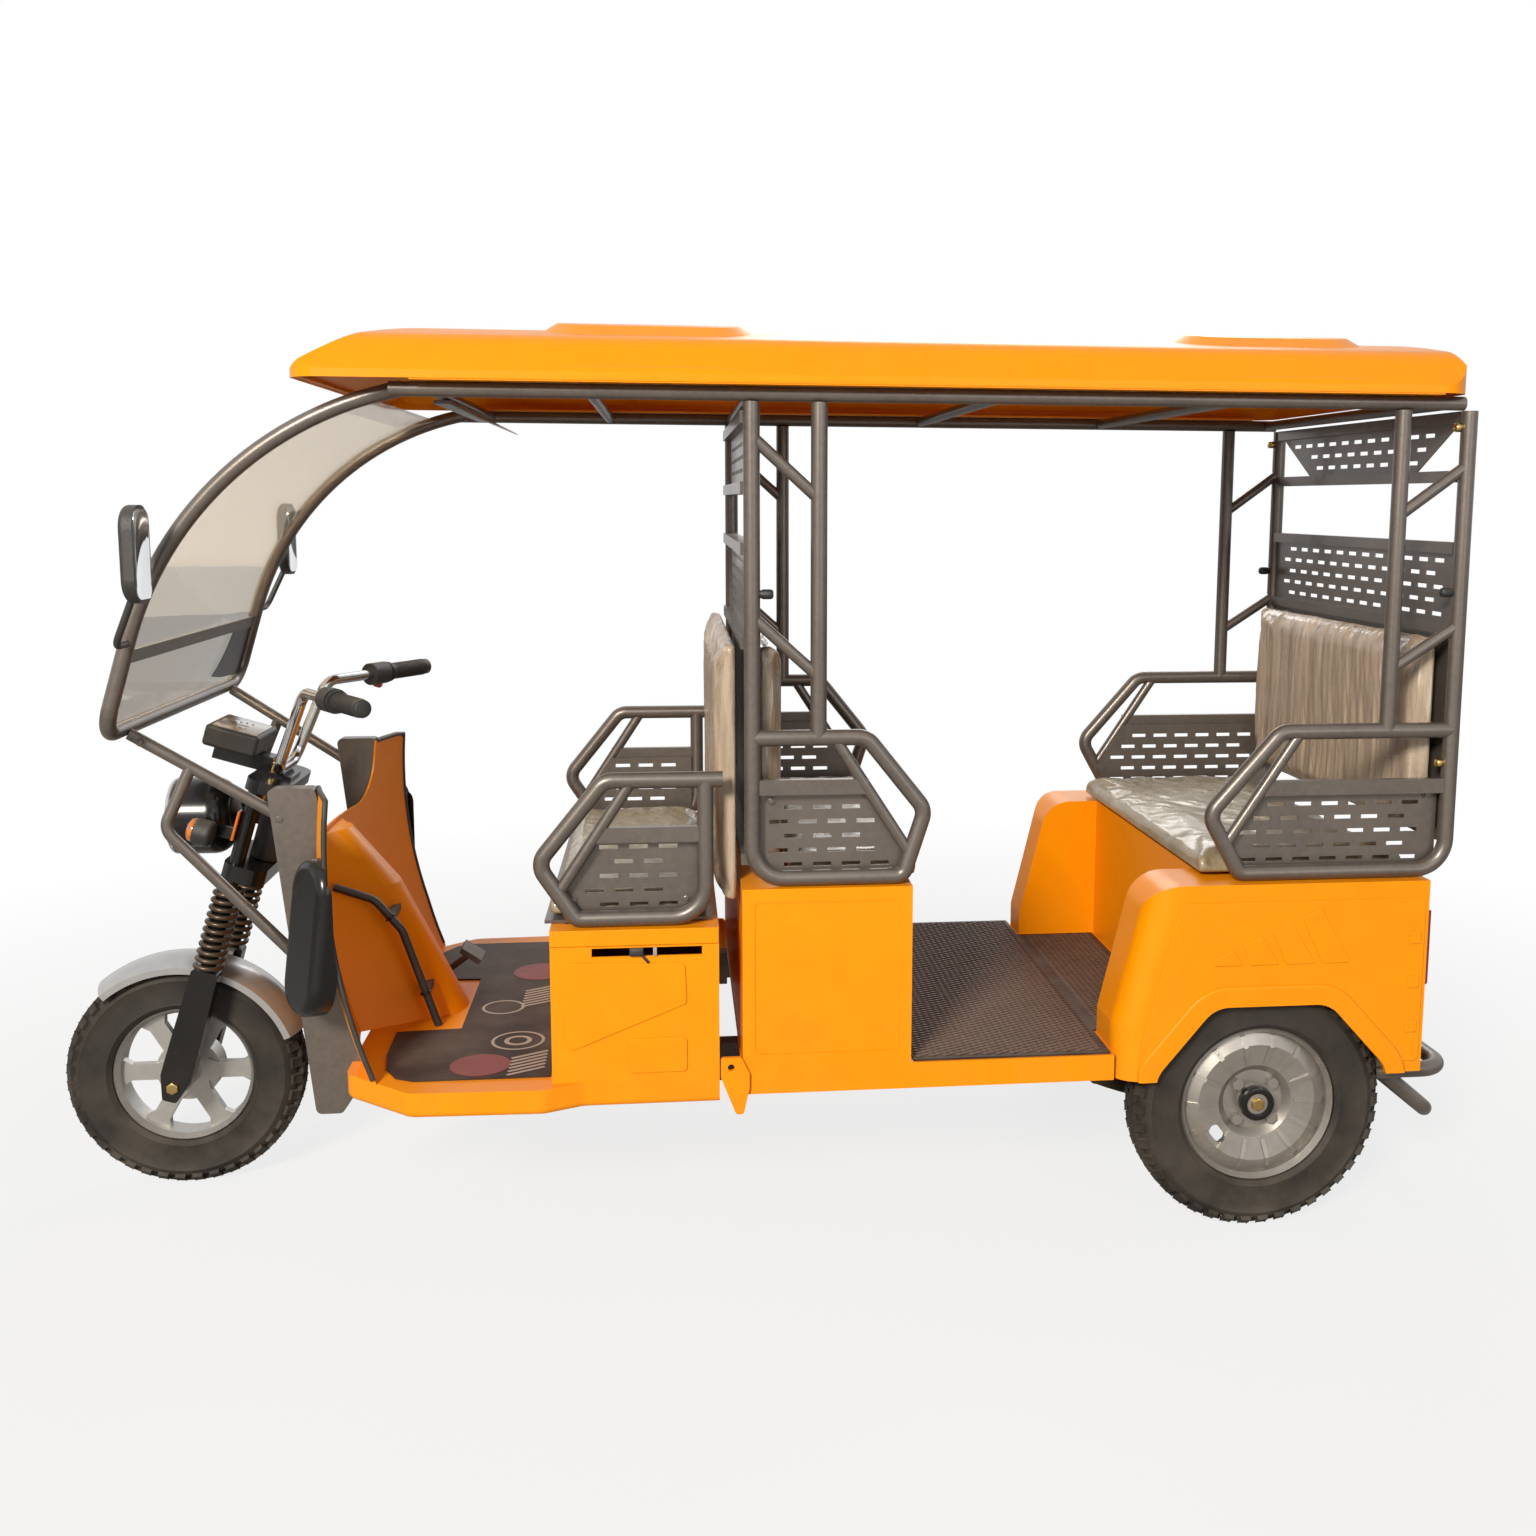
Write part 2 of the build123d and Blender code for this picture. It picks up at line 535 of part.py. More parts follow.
roof = roof_solid(0) - roof_solid(ROOF_WALL)
bulge_spread = 2 * ROOF_RISE * math.tan(math.radians(ROOF_BULGE_SLOPE))
for x, length in ROOF_BULGES:
    field = RectangleRounded(
        length + bulge_spread, ROOF_BULGE_WIDTH + bulge_spread, ROOF_BULGE_CORNER + bulge_spread / 2
    )
    field = Pos(x, 0, ROOF_EDGE_Z) * extrude(field, amount=ROOF_RISE + ROOF_BULGE, taper=ROOF_BULGE_SLOPE)
    roof += (roof_solid(0, ROOF_BULGE) & field) - roof_solid(ROOF_WALL / 2)
flange_z = (ROOF_RAIL_Z + ROOF_RAIL_R + SEAT_GAP, ROOF_EDGE_Z + ROOF_FLANGE[1])
flange_y = (RAIL_Y - ROOF_FLANGE[0], ROOF_HALF - ROOF_FLANGE[1])
roof = fuse(roof, pair(box((ROOF_X[0] + ROOF_PLAN_ROUND, ROOF_FLANGE_FRONT), flange_y, flange_z)))
save("roof_panel", roof)

# Roof frame of tube
ROOF_RAIL_X = (-1312.0, 640.0)
ROOF_CROSS = (-1290.0, -870.0, -430.0, MIDDLE_PILLAR_X, 300.0, 570.0)
ROOF_CROSS_R = 11.0
rail = bar((ROOF_RAIL_X[0], RAIL_Y, ROOF_RAIL_Z), (ROOF_RAIL_X[1], RAIL_Y, ROOF_RAIL_Z), ROOF_RAIL_R)
crosses = [bar((x, -RAIL_Y, ROOF_RAIL_Z), (x, RAIL_Y, ROOF_RAIL_Z), ROOF_CROSS_R) for x in ROOF_CROSS]
save("roof_frame", fuse(crosses[0], crosses[1:] + pair(rail)))

# Side frames: pillars and braces, and an armrest loop on each seat's side
ArmLoop = namedtuple(
    "ArmLoop",
    "pillar_x opens low arm_z foot knee knee_rise shoulder brace_head brace_foot brace_rise sheet_rise back",
)
ARM_Z = 988.0
DRIVER_ARM_Z = 914.0
middle_low = MIDDLE_BOX_TOP + RAIL_R + SEAT_GAP
rear_low = REAR_BODY_Z[1] + RAIL_R + SEAT_GAP
driver_low = DRIVER_BOX_TOP + RAIL_R + SEAT_GAP
middle_loop = ArmLoop(MIDDLE_PILLAR_X, -1, middle_low, ARM_Z, 280, 320, 124, 210, 150, 292, 42, 163, 0)
rear_loop = ArmLoop(REAR_PILLAR_X, 1, rear_low, ARM_Z, 413, 477, 115, 340, 301, 445, 53, 157, 0)
driver_loop = ArmLoop(DRIVER_PILLAR_X, 1, driver_low, DRIVER_ARM_Z, 236, 304, 104, 182, 132, 268, 48, 148, 32)
MID_RAIL = (16.0, 28.0)
MID_RAIL_LAP = 6.0
MIDDLE_BRACES = ((1530.0, 1420.0), (1210.0, 1100.0))
REAR_BRACES = ((1490.0, 1395.0), (1190.0, 1105.0))


def on_loop(loop, reach, rise):
    return (loop.pillar_x + loop.opens * reach, loop.low + rise)


def brace_reach(loop, rise):
    share = (loop.arm_z - loop.low - rise) / (loop.arm_z - loop.low - loop.brace_rise)
    return loop.brace_head + share * (loop.brace_foot - loop.brace_head)


def arm_frame(loop, pillar_top):
    arm_rise = loop.arm_z - loop.low
    loop_foot = on_loop(loop, loop.foot, 0)
    join = on_loop(loop, (loop.foot + loop.knee) / 2, loop.knee_rise / 2)
    lower = [(loop.pillar_x, pillar_top), on_loop(loop, 0, 0), loop_foot, join]
    upper = [join, on_loop(loop, loop.knee, loop.knee_rise), on_loop(loop, loop.shoulder, arm_rise)]
    upper.append(on_loop(loop, -loop.back, arm_rise))
    brace = [on_loop(loop, loop.brace_head, arm_rise), on_loop(loop, loop.brace_foot, loop.brace_rise)]
    rail_x = sorted(on_loop(loop, reach, 0)[0] for reach in (0, brace_reach(loop, loop.sheet_rise)))
    rail_z = loop.low + loop.sheet_rise - MID_RAIL_LAP
    frame = side_tube(lower, RAIL_R, (LOOP_BEND, FOOT_BEND)) + side_tube(upper, RAIL_R, (ARM_BEND, ARM_BEND))
    frame += side_tube(brace, BRACE_R)
    return frame + box(rail_x, around(RAIL_Y, MID_RAIL[0]), (rail_z, rail_z + MID_RAIL[1]))


def pillar_frame(loop, second_x, braces):
    frame = arm_frame(loop, PILLAR_TOP) + side_tube([(second_x, loop.arm_z), (second_x, PILLAR_TOP)], RAIL_R)
    for high, low in braces:
        frame += side_tube([(loop.pillar_x, high), (second_x, low)], BRACE_R)
    return frame


save("middle_side_frames", *pair(pillar_frame(middle_loop, MIDDLE_SECOND_X, MIDDLE_BRACES)))
save("rear_side_frames", *pair(pillar_frame(rear_loop, REAR_SECOND_X, REAR_BRACES)))
save("driver_armrests", *pair(arm_frame(driver_loop, DRIVER_ARM_Z)))

# Slotted sheets of the armrests, inboard of the tubes
SLOT = (34.0, 8.0)
SLOT_PITCH = (54.0, 27.0)
SLOT_MARGIN = 14.0
SHEET_START = 14.0


def clear_of_edges(corners, x, z):
    for (x0, z0), (x1, z1) in zip(corners, corners[1:] + corners[:1]):
        length = math.hypot(x1 - x0, z1 - z0)
        if ((x1 - x0) * (z - z0) - (z1 - z0) * (x - x0)) / length < SLOT_MARGIN:
            return False
    return True


def slotted_sheet(corners, y):
    xs, zs = [x for x, z in corners], [z for x, z in corners]
    cutters = []
    row = 0
    z = min(zs) + SLOT_MARGIN + SLOT[1]
    while z < max(zs):
        x = min(xs) + (row % 2) * SLOT_PITCH[0] / 2
        while x < max(xs):
            ends = around(x, SLOT[0])
            if all(clear_of_edges(corners, end, z) for end in ends):
                cutters.append(box(ends, (y[0] - CUT, y[1] + CUT), around(z, SLOT[1])))
            x += SLOT_PITCH[0]
        z += SLOT_PITCH[1]
        row += 1
    return plate(corners, y) - cutters


def sheet_corners(loop):
    corners = [
        on_loop(loop, loop.foot, 0),
        on_loop(loop, SHEET_START, 0),
        on_loop(loop, SHEET_START, loop.sheet_rise),
        on_loop(loop, brace_reach(loop, loop.sheet_rise), loop.sheet_rise),
        on_loop(loop, loop.brace_foot, loop.brace_rise),
    ]
    return corners[:: -loop.opens]


sheet_y = (RAIL_Y - RAIL_R - SEAT_GAP - SHEET, RAIL_Y - RAIL_R - SEAT_GAP)
arm_sheets = []
for arm_loop in (middle_loop, rear_loop, driver_loop):
    arm_sheets += pair(slotted_sheet(sheet_corners(arm_loop), sheet_y))
save("armrest_sheets", *arm_sheets)

# Partition behind the driver and boards behind the rear bench: slotted sheet between cross bars
BAR_SIDE = 22.0
BOARD_HALF = RAIL_Y - RAIL_R - SEAT_GAP
PARTITION_BARS = ((760.0, 1160.0, 1330.0), (1440.0, 1565.0))
PARTITION_BAR_X = (8.0, MIDDLE_BOX_X[1])
REAR_BARS = ((780.0, 1180.0, 1335.0), (1470.0, 1580.0))
REAR_BAR_X = around(REAR_PILLAR_X, BAR_SIDE)
REAR_BOARD_FOOT_HALF = 240.0
CROSS_SLOT = (40.0, 8.0)
CROSS_PITCH = (64.0, 26.0)
CROSS_EDGE = 20.0


def cross_board(pillar_x, bar_x, bars, foot_half, head_half):
    """A sheet between its lowest and highest bar, slotted in its uppermost field."""
    corners = [(-foot_half, bars[0]), (foot_half, bars[0]), (head_half, bars[-1]), (-head_half, bars[-1])]
    face = make_face(Polyline(*[(pillar_x - SHEET / 2, y, z) for y, z in corners], close=True))
    board = extrude(face, amount=SHEET, dir=(1, 0, 0))
    field = bars[-1] - bars[-2] - BAR_SIDE
    rows = int(field / CROSS_PITCH[1])
    first = (bars[-1] + bars[-2] - (rows - 1) * CROSS_PITCH[1]) / 2
    count = int(head_half / CROSS_PITCH[0])
    cutters = []
    for row in range(rows):
        z = first + row * CROSS_PITCH[1]
        half = foot_half + (head_half - foot_half) * (z - bars[0]) / (bars[-1] - bars[0])
        for place in range(-count, count + 1):
            y = place * CROSS_PITCH[0] + (row % 2 - 0.5) * CROSS_PITCH[0] / 2
            if abs(y) + CROSS_SLOT[0] / 2 < half - CROSS_EDGE:
                x = around(pillar_x, SHEET + 2 * CUT)
                cutters.append(box(x, around(y, CROSS_SLOT[0]), around(z, CROSS_SLOT[1])))
    return fuse(board - cutters, [wide_box(bar_x, BOARD_HALF, around(z, BAR_SIDE)) for z in bars])


partition_boards = [
    cross_board(MIDDLE_PILLAR_X, PARTITION_BAR_X, bars, BOARD_HALF, BOARD_HALF)
    for bars in PARTITION_BARS
]
save("partition_boards", *partition_boards)
rear_halves = (BOARD_HALF, REAR_BOARD_FOOT_HALF)
rear_boards = [
    cross_board(REAR_PILLAR_X, REAR_BAR_X, bars, foot_half, BOARD_HALF)
    for bars, foot_half in zip(REAR_BARS, rear_halves)
]
save("rear_boards", *rear_boards)

# Visor board under the roof
VISOR_X = (500.0, 556.0)
VISOR_HALF = 330.0
VISOR_DROP = 31.0
VISOR_LIFT = 28.0
VISOR_TAB = 28.0
visor_top = ROOF_RAIL_Z - ROOF_CROSS_R - SEAT_GAP
visor_low = visor_top - VISOR_DROP - SHEET
visor_line = [(VISOR_X[0], visor_low), (VISOR_X[1], visor_low + VISOR_LIFT)]
visor = plate(visor_line + [(x, z + SHEET) for x, z in reversed(visor_line)], (-VISOR_HALF, VISOR_HALF))
visor_tab_x = (VISOR_X[1] - WALL, VISOR_X[1] + VISOR_TAB)
visor += wide_box(visor_tab_x, VISOR_HALF, (visor_low + VISOR_LIFT, visor_top))
save("visor_board", visor)

# Driver's seat box: rim band, pull slot and pressed fields on its sides
BOX_OPEN_X = 25.0
BOX_OPEN_Y = 45.0
BOX_OPEN_DEPTH = 20.0
RIM_Z = 613.0
RIM_PROUD = 4.0
RIM_ROUND = 2.0
PRESSED = 3.0
PRESSED_ROUND = 2.0
PULL_SLOT = ((112.0, 312.0), (592.0, 608.0))
EMBOSS = ((361.0, 582.0), (143.0, 577.0), (140.0, 500.0), (345.0, 418.0), (361.0, 424.0))
EMBOSS_CORNER = 9.0
PRESSED_BOX = ((140.0, 370.0), (248.0, 370.0), (248.0, 436.0), (140.0, 436.0))


def pressed(corners, y, proud, corner):
    field = plate(corners, (y - CUT, y + proud), corner)
    return fillet(field.faces().sort_by(Axis.Y)[-1].edges(), PRESSED_ROUND)


driver_box = wide_box(DRIVER_BOX_X, SIDE_Y, (FRONT_FLOOR_Z, DRIVER_BOX_TOP))
rim_corners = [(x, RIM_Z) for x in DRIVER_BOX_X] + [(x, DRIVER_BOX_TOP) for x in reversed(DRIVER_BOX_X)]
fields = (
    (rim_corners, RIM_PROUD, RIM_ROUND),
    (EMBOSS, PRESSED, EMBOSS_CORNER),
    (PRESSED_BOX, PRESSED, EMBOSS_CORNER),
)
for corners, proud, corner in fields:
    driver_box = fuse(driver_box, pair(pressed(corners, SIDE_Y, proud, corner)))
store_x = (DRIVER_BOX_X[0] + WALL, DRIVER_BOX_X[1] - WALL)
driver_box -= wide_box(store_x, SIDE_Y - WALL, (FRONT_FLOOR_Z - CUT, DRIVER_BOX_TOP - WALL))
mouth_x = (DRIVER_BOX_X[0] + BOX_OPEN_X, DRIVER_BOX_X[1] - BOX_OPEN_X)
driver_box -= wide_box(mouth_x, SIDE_Y - BOX_OPEN_Y, (DRIVER_BOX_TOP - BOX_OPEN_DEPTH, DRIVER_BOX_TOP + CUT))
driver_box -= wide_box(PULL_SLOT[0], SIDE_Y + CUT, PULL_SLOT[1])

# Lid of the driver's box, hinged at its front edge
LID = 6.0
LID_RISE = 1.0
LID_X = (92.0, 399.0)
LID_INSET = 4.0
LID_AXIS = (396.0, 634.0)
HINGE_R = 7.0
PIN_R = 4.0
HINGES_Y = (-220.0, 220.0)
KNUCKLE = 24.0
KNUCKLE_GAP = 1.0
LID_LEAF = 5.0
lid_bottom = DRIVER_BOX_TOP + LID_RISE


def on_pin(y_low, y_high, radius):
    return bar((LID_AXIS[0], y_low, LID_AXIS[1]), (LID_AXIS[0], y_high, LID_AXIS[1]), radius)


lid = wide_box(LID_X, CUSHION_HALF - LID_INSET, (lid_bottom, lid_bottom + LID))
for y in HINGES_Y:
    pin_ends = (y - 1.5 * KNUCKLE, y + 1.5 * KNUCKLE)
    driver_box += on_pin(*pin_ends, PIN_R)
    for side in (-1, 1):
        span = sorted((y + side * (KNUCKLE / 2 + KNUCKLE_GAP), y + side * KNUCKLE * 1.5))
        driver_box += on_pin(*span, HINGE_R)
        driver_box += box((DRIVER_BOX_X[1] - CUT, LID_AXIS[0]), span, (LID_AXIS[1] - HINGE_R, LID_AXIS[1]))
    knuckle_y = around(y, KNUCKLE)
    lid += box(around(LID_AXIS[0], LID_LEAF), knuckle_y, (LID_AXIS[1], lid_bottom + CUT))
    lid += on_pin(*knuckle_y, HINGE_R)
    lid -= on_pin(*pin_ends, PIN_R + RUN_GAP)
save("driver_seat_box", driver_box)
save("driver_seat_lid", lid)

# Middle seat box with a sunk field on each side, and the battery in it
MIDDLE_FIELD = (23.0, 26.0)
MIDDLE_FIELD_SINK = 2.0
BATTERY = (16.0, 350.0, 230.0)
middle_box = wide_box(MIDDLE_BOX_X, SIDE_Y, (FLOOR_Z, MIDDLE_BOX_TOP))
field_x = (MIDDLE_BOX_X[0] + MIDDLE_FIELD[0], MIDDLE_BOX_X[1] - MIDDLE_FIELD[0])
field_z = (FLOOR_Z + MIDDLE_FIELD[1], MIDDLE_BOX_TOP - MIDDLE_FIELD[1])
sunk_field = box(field_x, (SIDE_Y - MIDDLE_FIELD_SINK, SIDE_Y + CUT), field_z)
middle_box = middle_box - pair(fillet(sunk_field.edges().filter_by(Axis.Y), EMBOSS_CORNER))
inner_x = (MIDDLE_BOX_X[0] + WALL, MIDDLE_BOX_X[1] - WALL)
middle_box -= wide_box(inner_x, SIDE_Y - WALL, (FLOOR_Z - CUT, MIDDLE_BOX_TOP - WALL))
save("middle_seat_box", middle_box)
battery_x = (MIDDLE_BOX_X[0] + BATTERY[0], MIDDLE_BOX_X[1] - BATTERY[0])
save("battery_pack", wide_box(battery_x, BATTERY[1], (FLOOR_Z, FLOOR_Z + BATTERY[2])))

# Rear wheel boxes: rounded front, raised side field with louvres, and a lipped arch
BODY_KNEE_Z = 425.0
BODY_HEAD_X = -737.0
BODY_HEAD_ROUND = 70.0
BODY_PLAN_ROUND = 50.0
ARCH = ((225.0, 250.0), (218.0, 330.0), (108.0, 462.0), (-120.0, 462.0), (-242.0, 330.0), (-246.0, 250.0))
ARCH_ROUND = 60.0
ARCH_LIP = 40.0
ARCH_PROUD = 8.0
ARCH_LIP_ROUND = 5.0
SIDE_FIELD = ((-1278.0, 340.0), (-716.0, 340.0), (-722.0, 400.0), (-790.0, 666.0), (-1278.0, 666.0))
SIDE_FIELD_ROUND = 12.0
LOUVRES = 4
LOUVRE_FOOT = (-858.0, 543.0)
LOUVRE_PITCH = 71.5
LOUVRE_WIDTH = 58.0
LOUVRE_TIP = ((2.0, 13.0), (14.0, 26.0))
LOUVRE_WING = (-38.0, 18.0)
LOUVRE_ROUND = 3.0
STUDS_X = (-1270.0, -1246.0)
STUDS_Z = (588.0, 500.0, 411.0)
STUD = 24.0


def arch_face(y):
    face = outline([(REAR_AXLE_X + x, z) for x, z in ARCH], y)
    return fillet([v for v in face.vertices() if v.Z > REAR_BODY_Z[0]], ARCH_ROUND)


def body_block(inset):
    """One wheel box, its front and outer corner rounded along the slant of its front."""
    x = (REAR_BODY_X[0] + inset, REAR_BODY_X[1] - inset)
    y = (REAR_BODY_Y[0] + inset, REAR_BODY_Y[1] - inset)
    z = (REAR_BODY_Z[0] - CUT * bool(inset), REAR_BODY_Z[1] - inset)
    head = (BODY_HEAD_X - inset, REAR_BODY_Z[1])
    face = outline([(x[0], z[0]), (x[1], z[0]), (x[1], BODY_KNEE_Z), (head[0], z[1]), (x[0], z[1])], y[0])
    head_corner = face.vertices().sort_by(Axis.Z)[-2:].sort_by(Axis.X)[-1]
    face = fillet(head_corner, BODY_HEAD_ROUND - inset)
    block = extrude(face, amount=y[1] - y[0], dir=(0, 1, 0))
    plan = make_face(Polyline((x[0], y[0]), (x[1], y[0]), (x[1], y[1]), (x[0], y[1]), close=True))
    plan = fillet(plan.vertices().group_by(Axis.X)[-1].sort_by(Axis.Y)[-1], BODY_PLAN_ROUND - inset)
    plan = Pos(0, 0, BODY_KNEE_Z) * plan
    slant = Vector(head[0] - x[1], 0, z[1] - BODY_KNEE_Z)
    prism = extrude(plan, amount=BODY_KNEE_Z - z[0], dir=(0, 0, -1))
    prism += extrude(plan, amount=slant.length, dir=slant)
    return block & prism


wheel_box = body_block(0)
hollow = body_block(WALL)
wheel_box += pressed(SIDE_FIELD, REAR_BODY_Y[1], PRESSED, SIDE_FIELD_ROUND)
louvre_y = REAR_BODY_Y[1] + PRESSED
for number in range(LOUVRES):
    foot_x = LOUVRE_FOOT[0] - number * LOUVRE_PITCH
    tip_x = foot_x + LOUVRE_TIP[0][0] + number * LOUVRE_TIP[1][0]
    tip_z = LOUVRE_FOOT[1] + LOUVRE_TIP[0][1] + number * LOUVRE_TIP[1][1]
    louvre = [
        (foot_x, LOUVRE_FOOT[1]),
        (tip_x, tip_z),
        (tip_x + LOUVRE_WING[0], tip_z + LOUVRE_WING[1]),
        (foot_x - LOUVRE_WIDTH, LOUVRE_FOOT[1]),
    ]
    wheel_box += pressed(louvre, louvre_y, PRESSED, LOUVRE_ROUND)
for z in STUDS_Z:
    low, high = around(z, STUD)
    stud = [(STUDS_X[0], low), (STUDS_X[1], low), (STUDS_X[1], high), (STUDS_X[0], high)]
    wheel_box += pressed(stud, louvre_y, PRESSED, LOUVRE_ROUND)
lip = extrude(offset(arch_face(REAR_BODY_Y[1] - WALL), ARCH_LIP), amount=WALL + ARCH_PROUD, dir=(0, 1, 0))
lip &= box((REAR_BODY_X[0], SIDE_FIELD[1][0]), (0, 2 * REAR_BODY_Y[1]), REAR_BODY_Z)
lip_face = lip.faces().sort_by(Axis.Y)[-1]
lip = fillet([edge for edge in lip_face.edges() if edge.center().Z > REAR_BODY_Z[0] + CUT], ARCH_LIP_ROUND)
arch = extrude(arch_face(REAR_BODY_Y[1] - 2 * ARCH_PROUD), amount=4 * ARCH_PROUD, dir=(0, 1, 0))
wheel_box = wheel_box - hollow + (lip - hollow) - arch
save("rear_wheel_boxes", *pair(wheel_box))

# Rear bench base and tail panel between the wheel boxes
TAIL_LOW = 322.0
TAIL_LAMP = (20.0, 90.0, 150.0)
TAIL_LAMP_AT = (412.0, 560.0)
TAIL_LAMP_ROUND = 8.0
bench_half = REAR_BODY_Y[0] - SEAT_GAP
bench_top = (REAR_BODY_Z[1] - WALL, REAR_BODY_Z[1])
tail_x = (REAR_BODY_X[0], REAR_BODY_X[0] + WALL)
bench = wide_box((SEAT_FRONT_X - WALL, SEAT_FRONT_X), bench_half, (FLOOR_Z + SEAT_GAP, REAR_BODY_Z[1]))
bench += wide_box((tail_x[1] + SEAT_GAP, SEAT_FRONT_X), bench_half, bench_top)
save("rear_bench_base", bench)
save("tail_panel", wide_box(tail_x, bench_half, (TAIL_LOW, REAR_BODY_Z[1])))
tail_lamp = Pos(tail_x[0] - TAIL_LAMP[0] / 2 - SEAT_GAP, *TAIL_LAMP_AT) * Box(*TAIL_LAMP)
tail_lamp = fillet(tail_lamp.faces().sort_by(Axis.X)[0].edges(), TAIL_LAMP_ROUND)
save("tail_lamps", *pair(tail_lamp))

# Rear bumper loops
BUMPER_R = 16.0
BUMPER_X = -1389.0
BUMPER_Y = 388.0
BUMPER_END_X = -1234.0
STEP_Y = 346.0
STEP_Z = 168.0
STEP_END_X = -1250.0
BUMPER_BEND = 55.0
BUMPER_POST_Y = 150.0
BUMPER_POST_R = 9.0
bumper_z = BUMPER_BEAM_Z[0] - SEAT_GAP - BUMPER_R


def bumper_loop(y, z, end_x):
    corners = [(end_x, y, bumper_z), (BUMPER_X, y, z), (BUMPER_X, -y, z), (end_x, -y, bumper_z)]
    return tube(corners, BUMPER_R, BUMPER_BEND)


bumper = bumper_loop(BUMPER_Y, bumper_z, BUMPER_END_X) + bumper_loop(STEP_Y, STEP_Z, STEP_END_X)
for y in (-BUMPER_POST_Y, BUMPER_POST_Y):
    bumper += bar((BUMPER_X, y, STEP_Z), (BUMPER_X, y, bumper_z), BUMPER_POST_R)
beam_x = around(CROSS_MEMBERS[-1], 2 * CROSS_WIDTH)
bumper -= wide_box(beam_x, BUMPER_BEAM_HALF + BUMPER_R, (BUMPER_BEAM_Z[0] - SEAT_GAP, FLOOR_Z))
save("rear_bumper", bumper)

# Cushions and back pads
CUSHION_ROUND = 16.0
DRIVER_CUSHION_X = (90.0, 402.0)
DRIVER_CUSHION = 42.0
DRIVER_BACK = (42.0, 664.0, 1168.0)
MIDDLE_BACK = (42.0, 766.0, 1168.0)
MIDDLE_FRONT = 28.0
REAR_BACK = (42.0, 764.0, 1176.0)
REAR_FRONT = 24.0
BACK_GAP = 6.0


def pad(x, z):
    block = wide_box(x, CUSHION_HALF, z)
    return fillet(block.edges(), CUSHION_ROUND)


lid_top = lid_bottom + LID + SEAT_GAP
driver_back_x = PARTITION_BAR_X[1] + SEAT_GAP
middle_back_x = PARTITION_BAR_X[0] - SEAT_GAP
rear_back_x = REAR_BAR_X[1] + SEAT_GAP
middle_cushion_x = (MIDDLE_BOX_X[0] - MIDDLE_FRONT, middle_back_x - MIDDLE_BACK[0] - BACK_GAP)
rear_cushion_x = (REAR_BODY_X[0] + BACK_GAP + MAT, SEAT_FRONT_X + REAR_FRONT)
save("driver_cushion", pad(DRIVER_CUSHION_X, (lid_top, lid_top + DRIVER_CUSHION)))
save("driver_backrest", pad((driver_back_x, driver_back_x + DRIVER_BACK[0]), DRIVER_BACK[1:]))
save("middle_backrest", pad((middle_back_x - MIDDLE_BACK[0], middle_back_x), MIDDLE_BACK[1:]))
save("middle_cushion", pad(middle_cushion_x, (MIDDLE_BOX_TOP, MIDDLE_BOX_TOP + CUSHION)))
save("rear_cushion", pad(rear_cushion_x, (REAR_BODY_Z[1], REAR_BODY_Z[1] + CUSHION)))
save("rear_backrest", pad((rear_back_x, rear_back_x + REAR_BACK[0]), REAR_BACK[1:]))

# Brake pedal
PEDAL_Y = -150.0
PEDAL_FOOT_X = 700.0
PEDAL_AT = (606.0, 424.0)
PEDAL_PAD = (12.0, 70.0, 50.0)
PEDAL_LEAN = 55.0
PEDAL_R = 7.0
pedal = bar((PEDAL_FOOT_X, PEDAL_Y, FRONT_FLOOR_Z), (PEDAL_AT[0], PEDAL_Y, PEDAL_AT[1]), PEDAL_R)
pedal += Pos(PEDAL_AT[0], PEDAL_Y, PEDAL_AT[1]) * Rot(0, PEDAL_LEAN, 0) * Box(*PEDAL_PAD)
pedal -= wide_box(around(PEDAL_FOOT_X, DOWN_TUBE_FOOT_Z), DOWN_TUBE_FOOT_Z, (0, FRONT_FLOOR_Z))
pedal -= tunnel_solid(-SEAT_GAP)
save("brake_pedal", pedal.solids().sort_by(SortBy.VOLUME)[-1])

# Rear axle, motor and leaf springs
AXLE_R = 30.0
HUB_BACK = 64.0
AXLE_HALF = REAR_WHEEL_Y - HUB_BACK
SHAFT_R = 15.0
SHAFT_DEPTH = 60.0
GEAR = (70.0, 72.0)
MOTOR_R = 84.0
MOTOR_FRONT_X = -668.0
axle_at = (REAR_AXLE_X, REAR_TYRE_R)


def on_axle(y_low, y_high, radius):
    return bar((axle_at[0], y_low, axle_at[1]), (axle_at[0], y_high, axle_at[1]), radius)


rear_axle = on_axle(-AXLE_HALF, AXLE_HALF, AXLE_R) + on_axle(-GEAR[0], GEAR[0], GEAR[1])
shaft_bore = on_axle(AXLE_HALF - SHAFT_DEPTH, AXLE_HALF + CUT, SHAFT_R + RUN_GAP)
save("rear_axle", rear_axle - pair(shaft_bore))
motor_back = (axle_at[0] + GEAR[1] + SEAT_GAP, 0, axle_at[1])
save("drive_motor", bar(motor_back, (MOTOR_FRONT_X, 0, axle_at[1]), MOTOR_R))

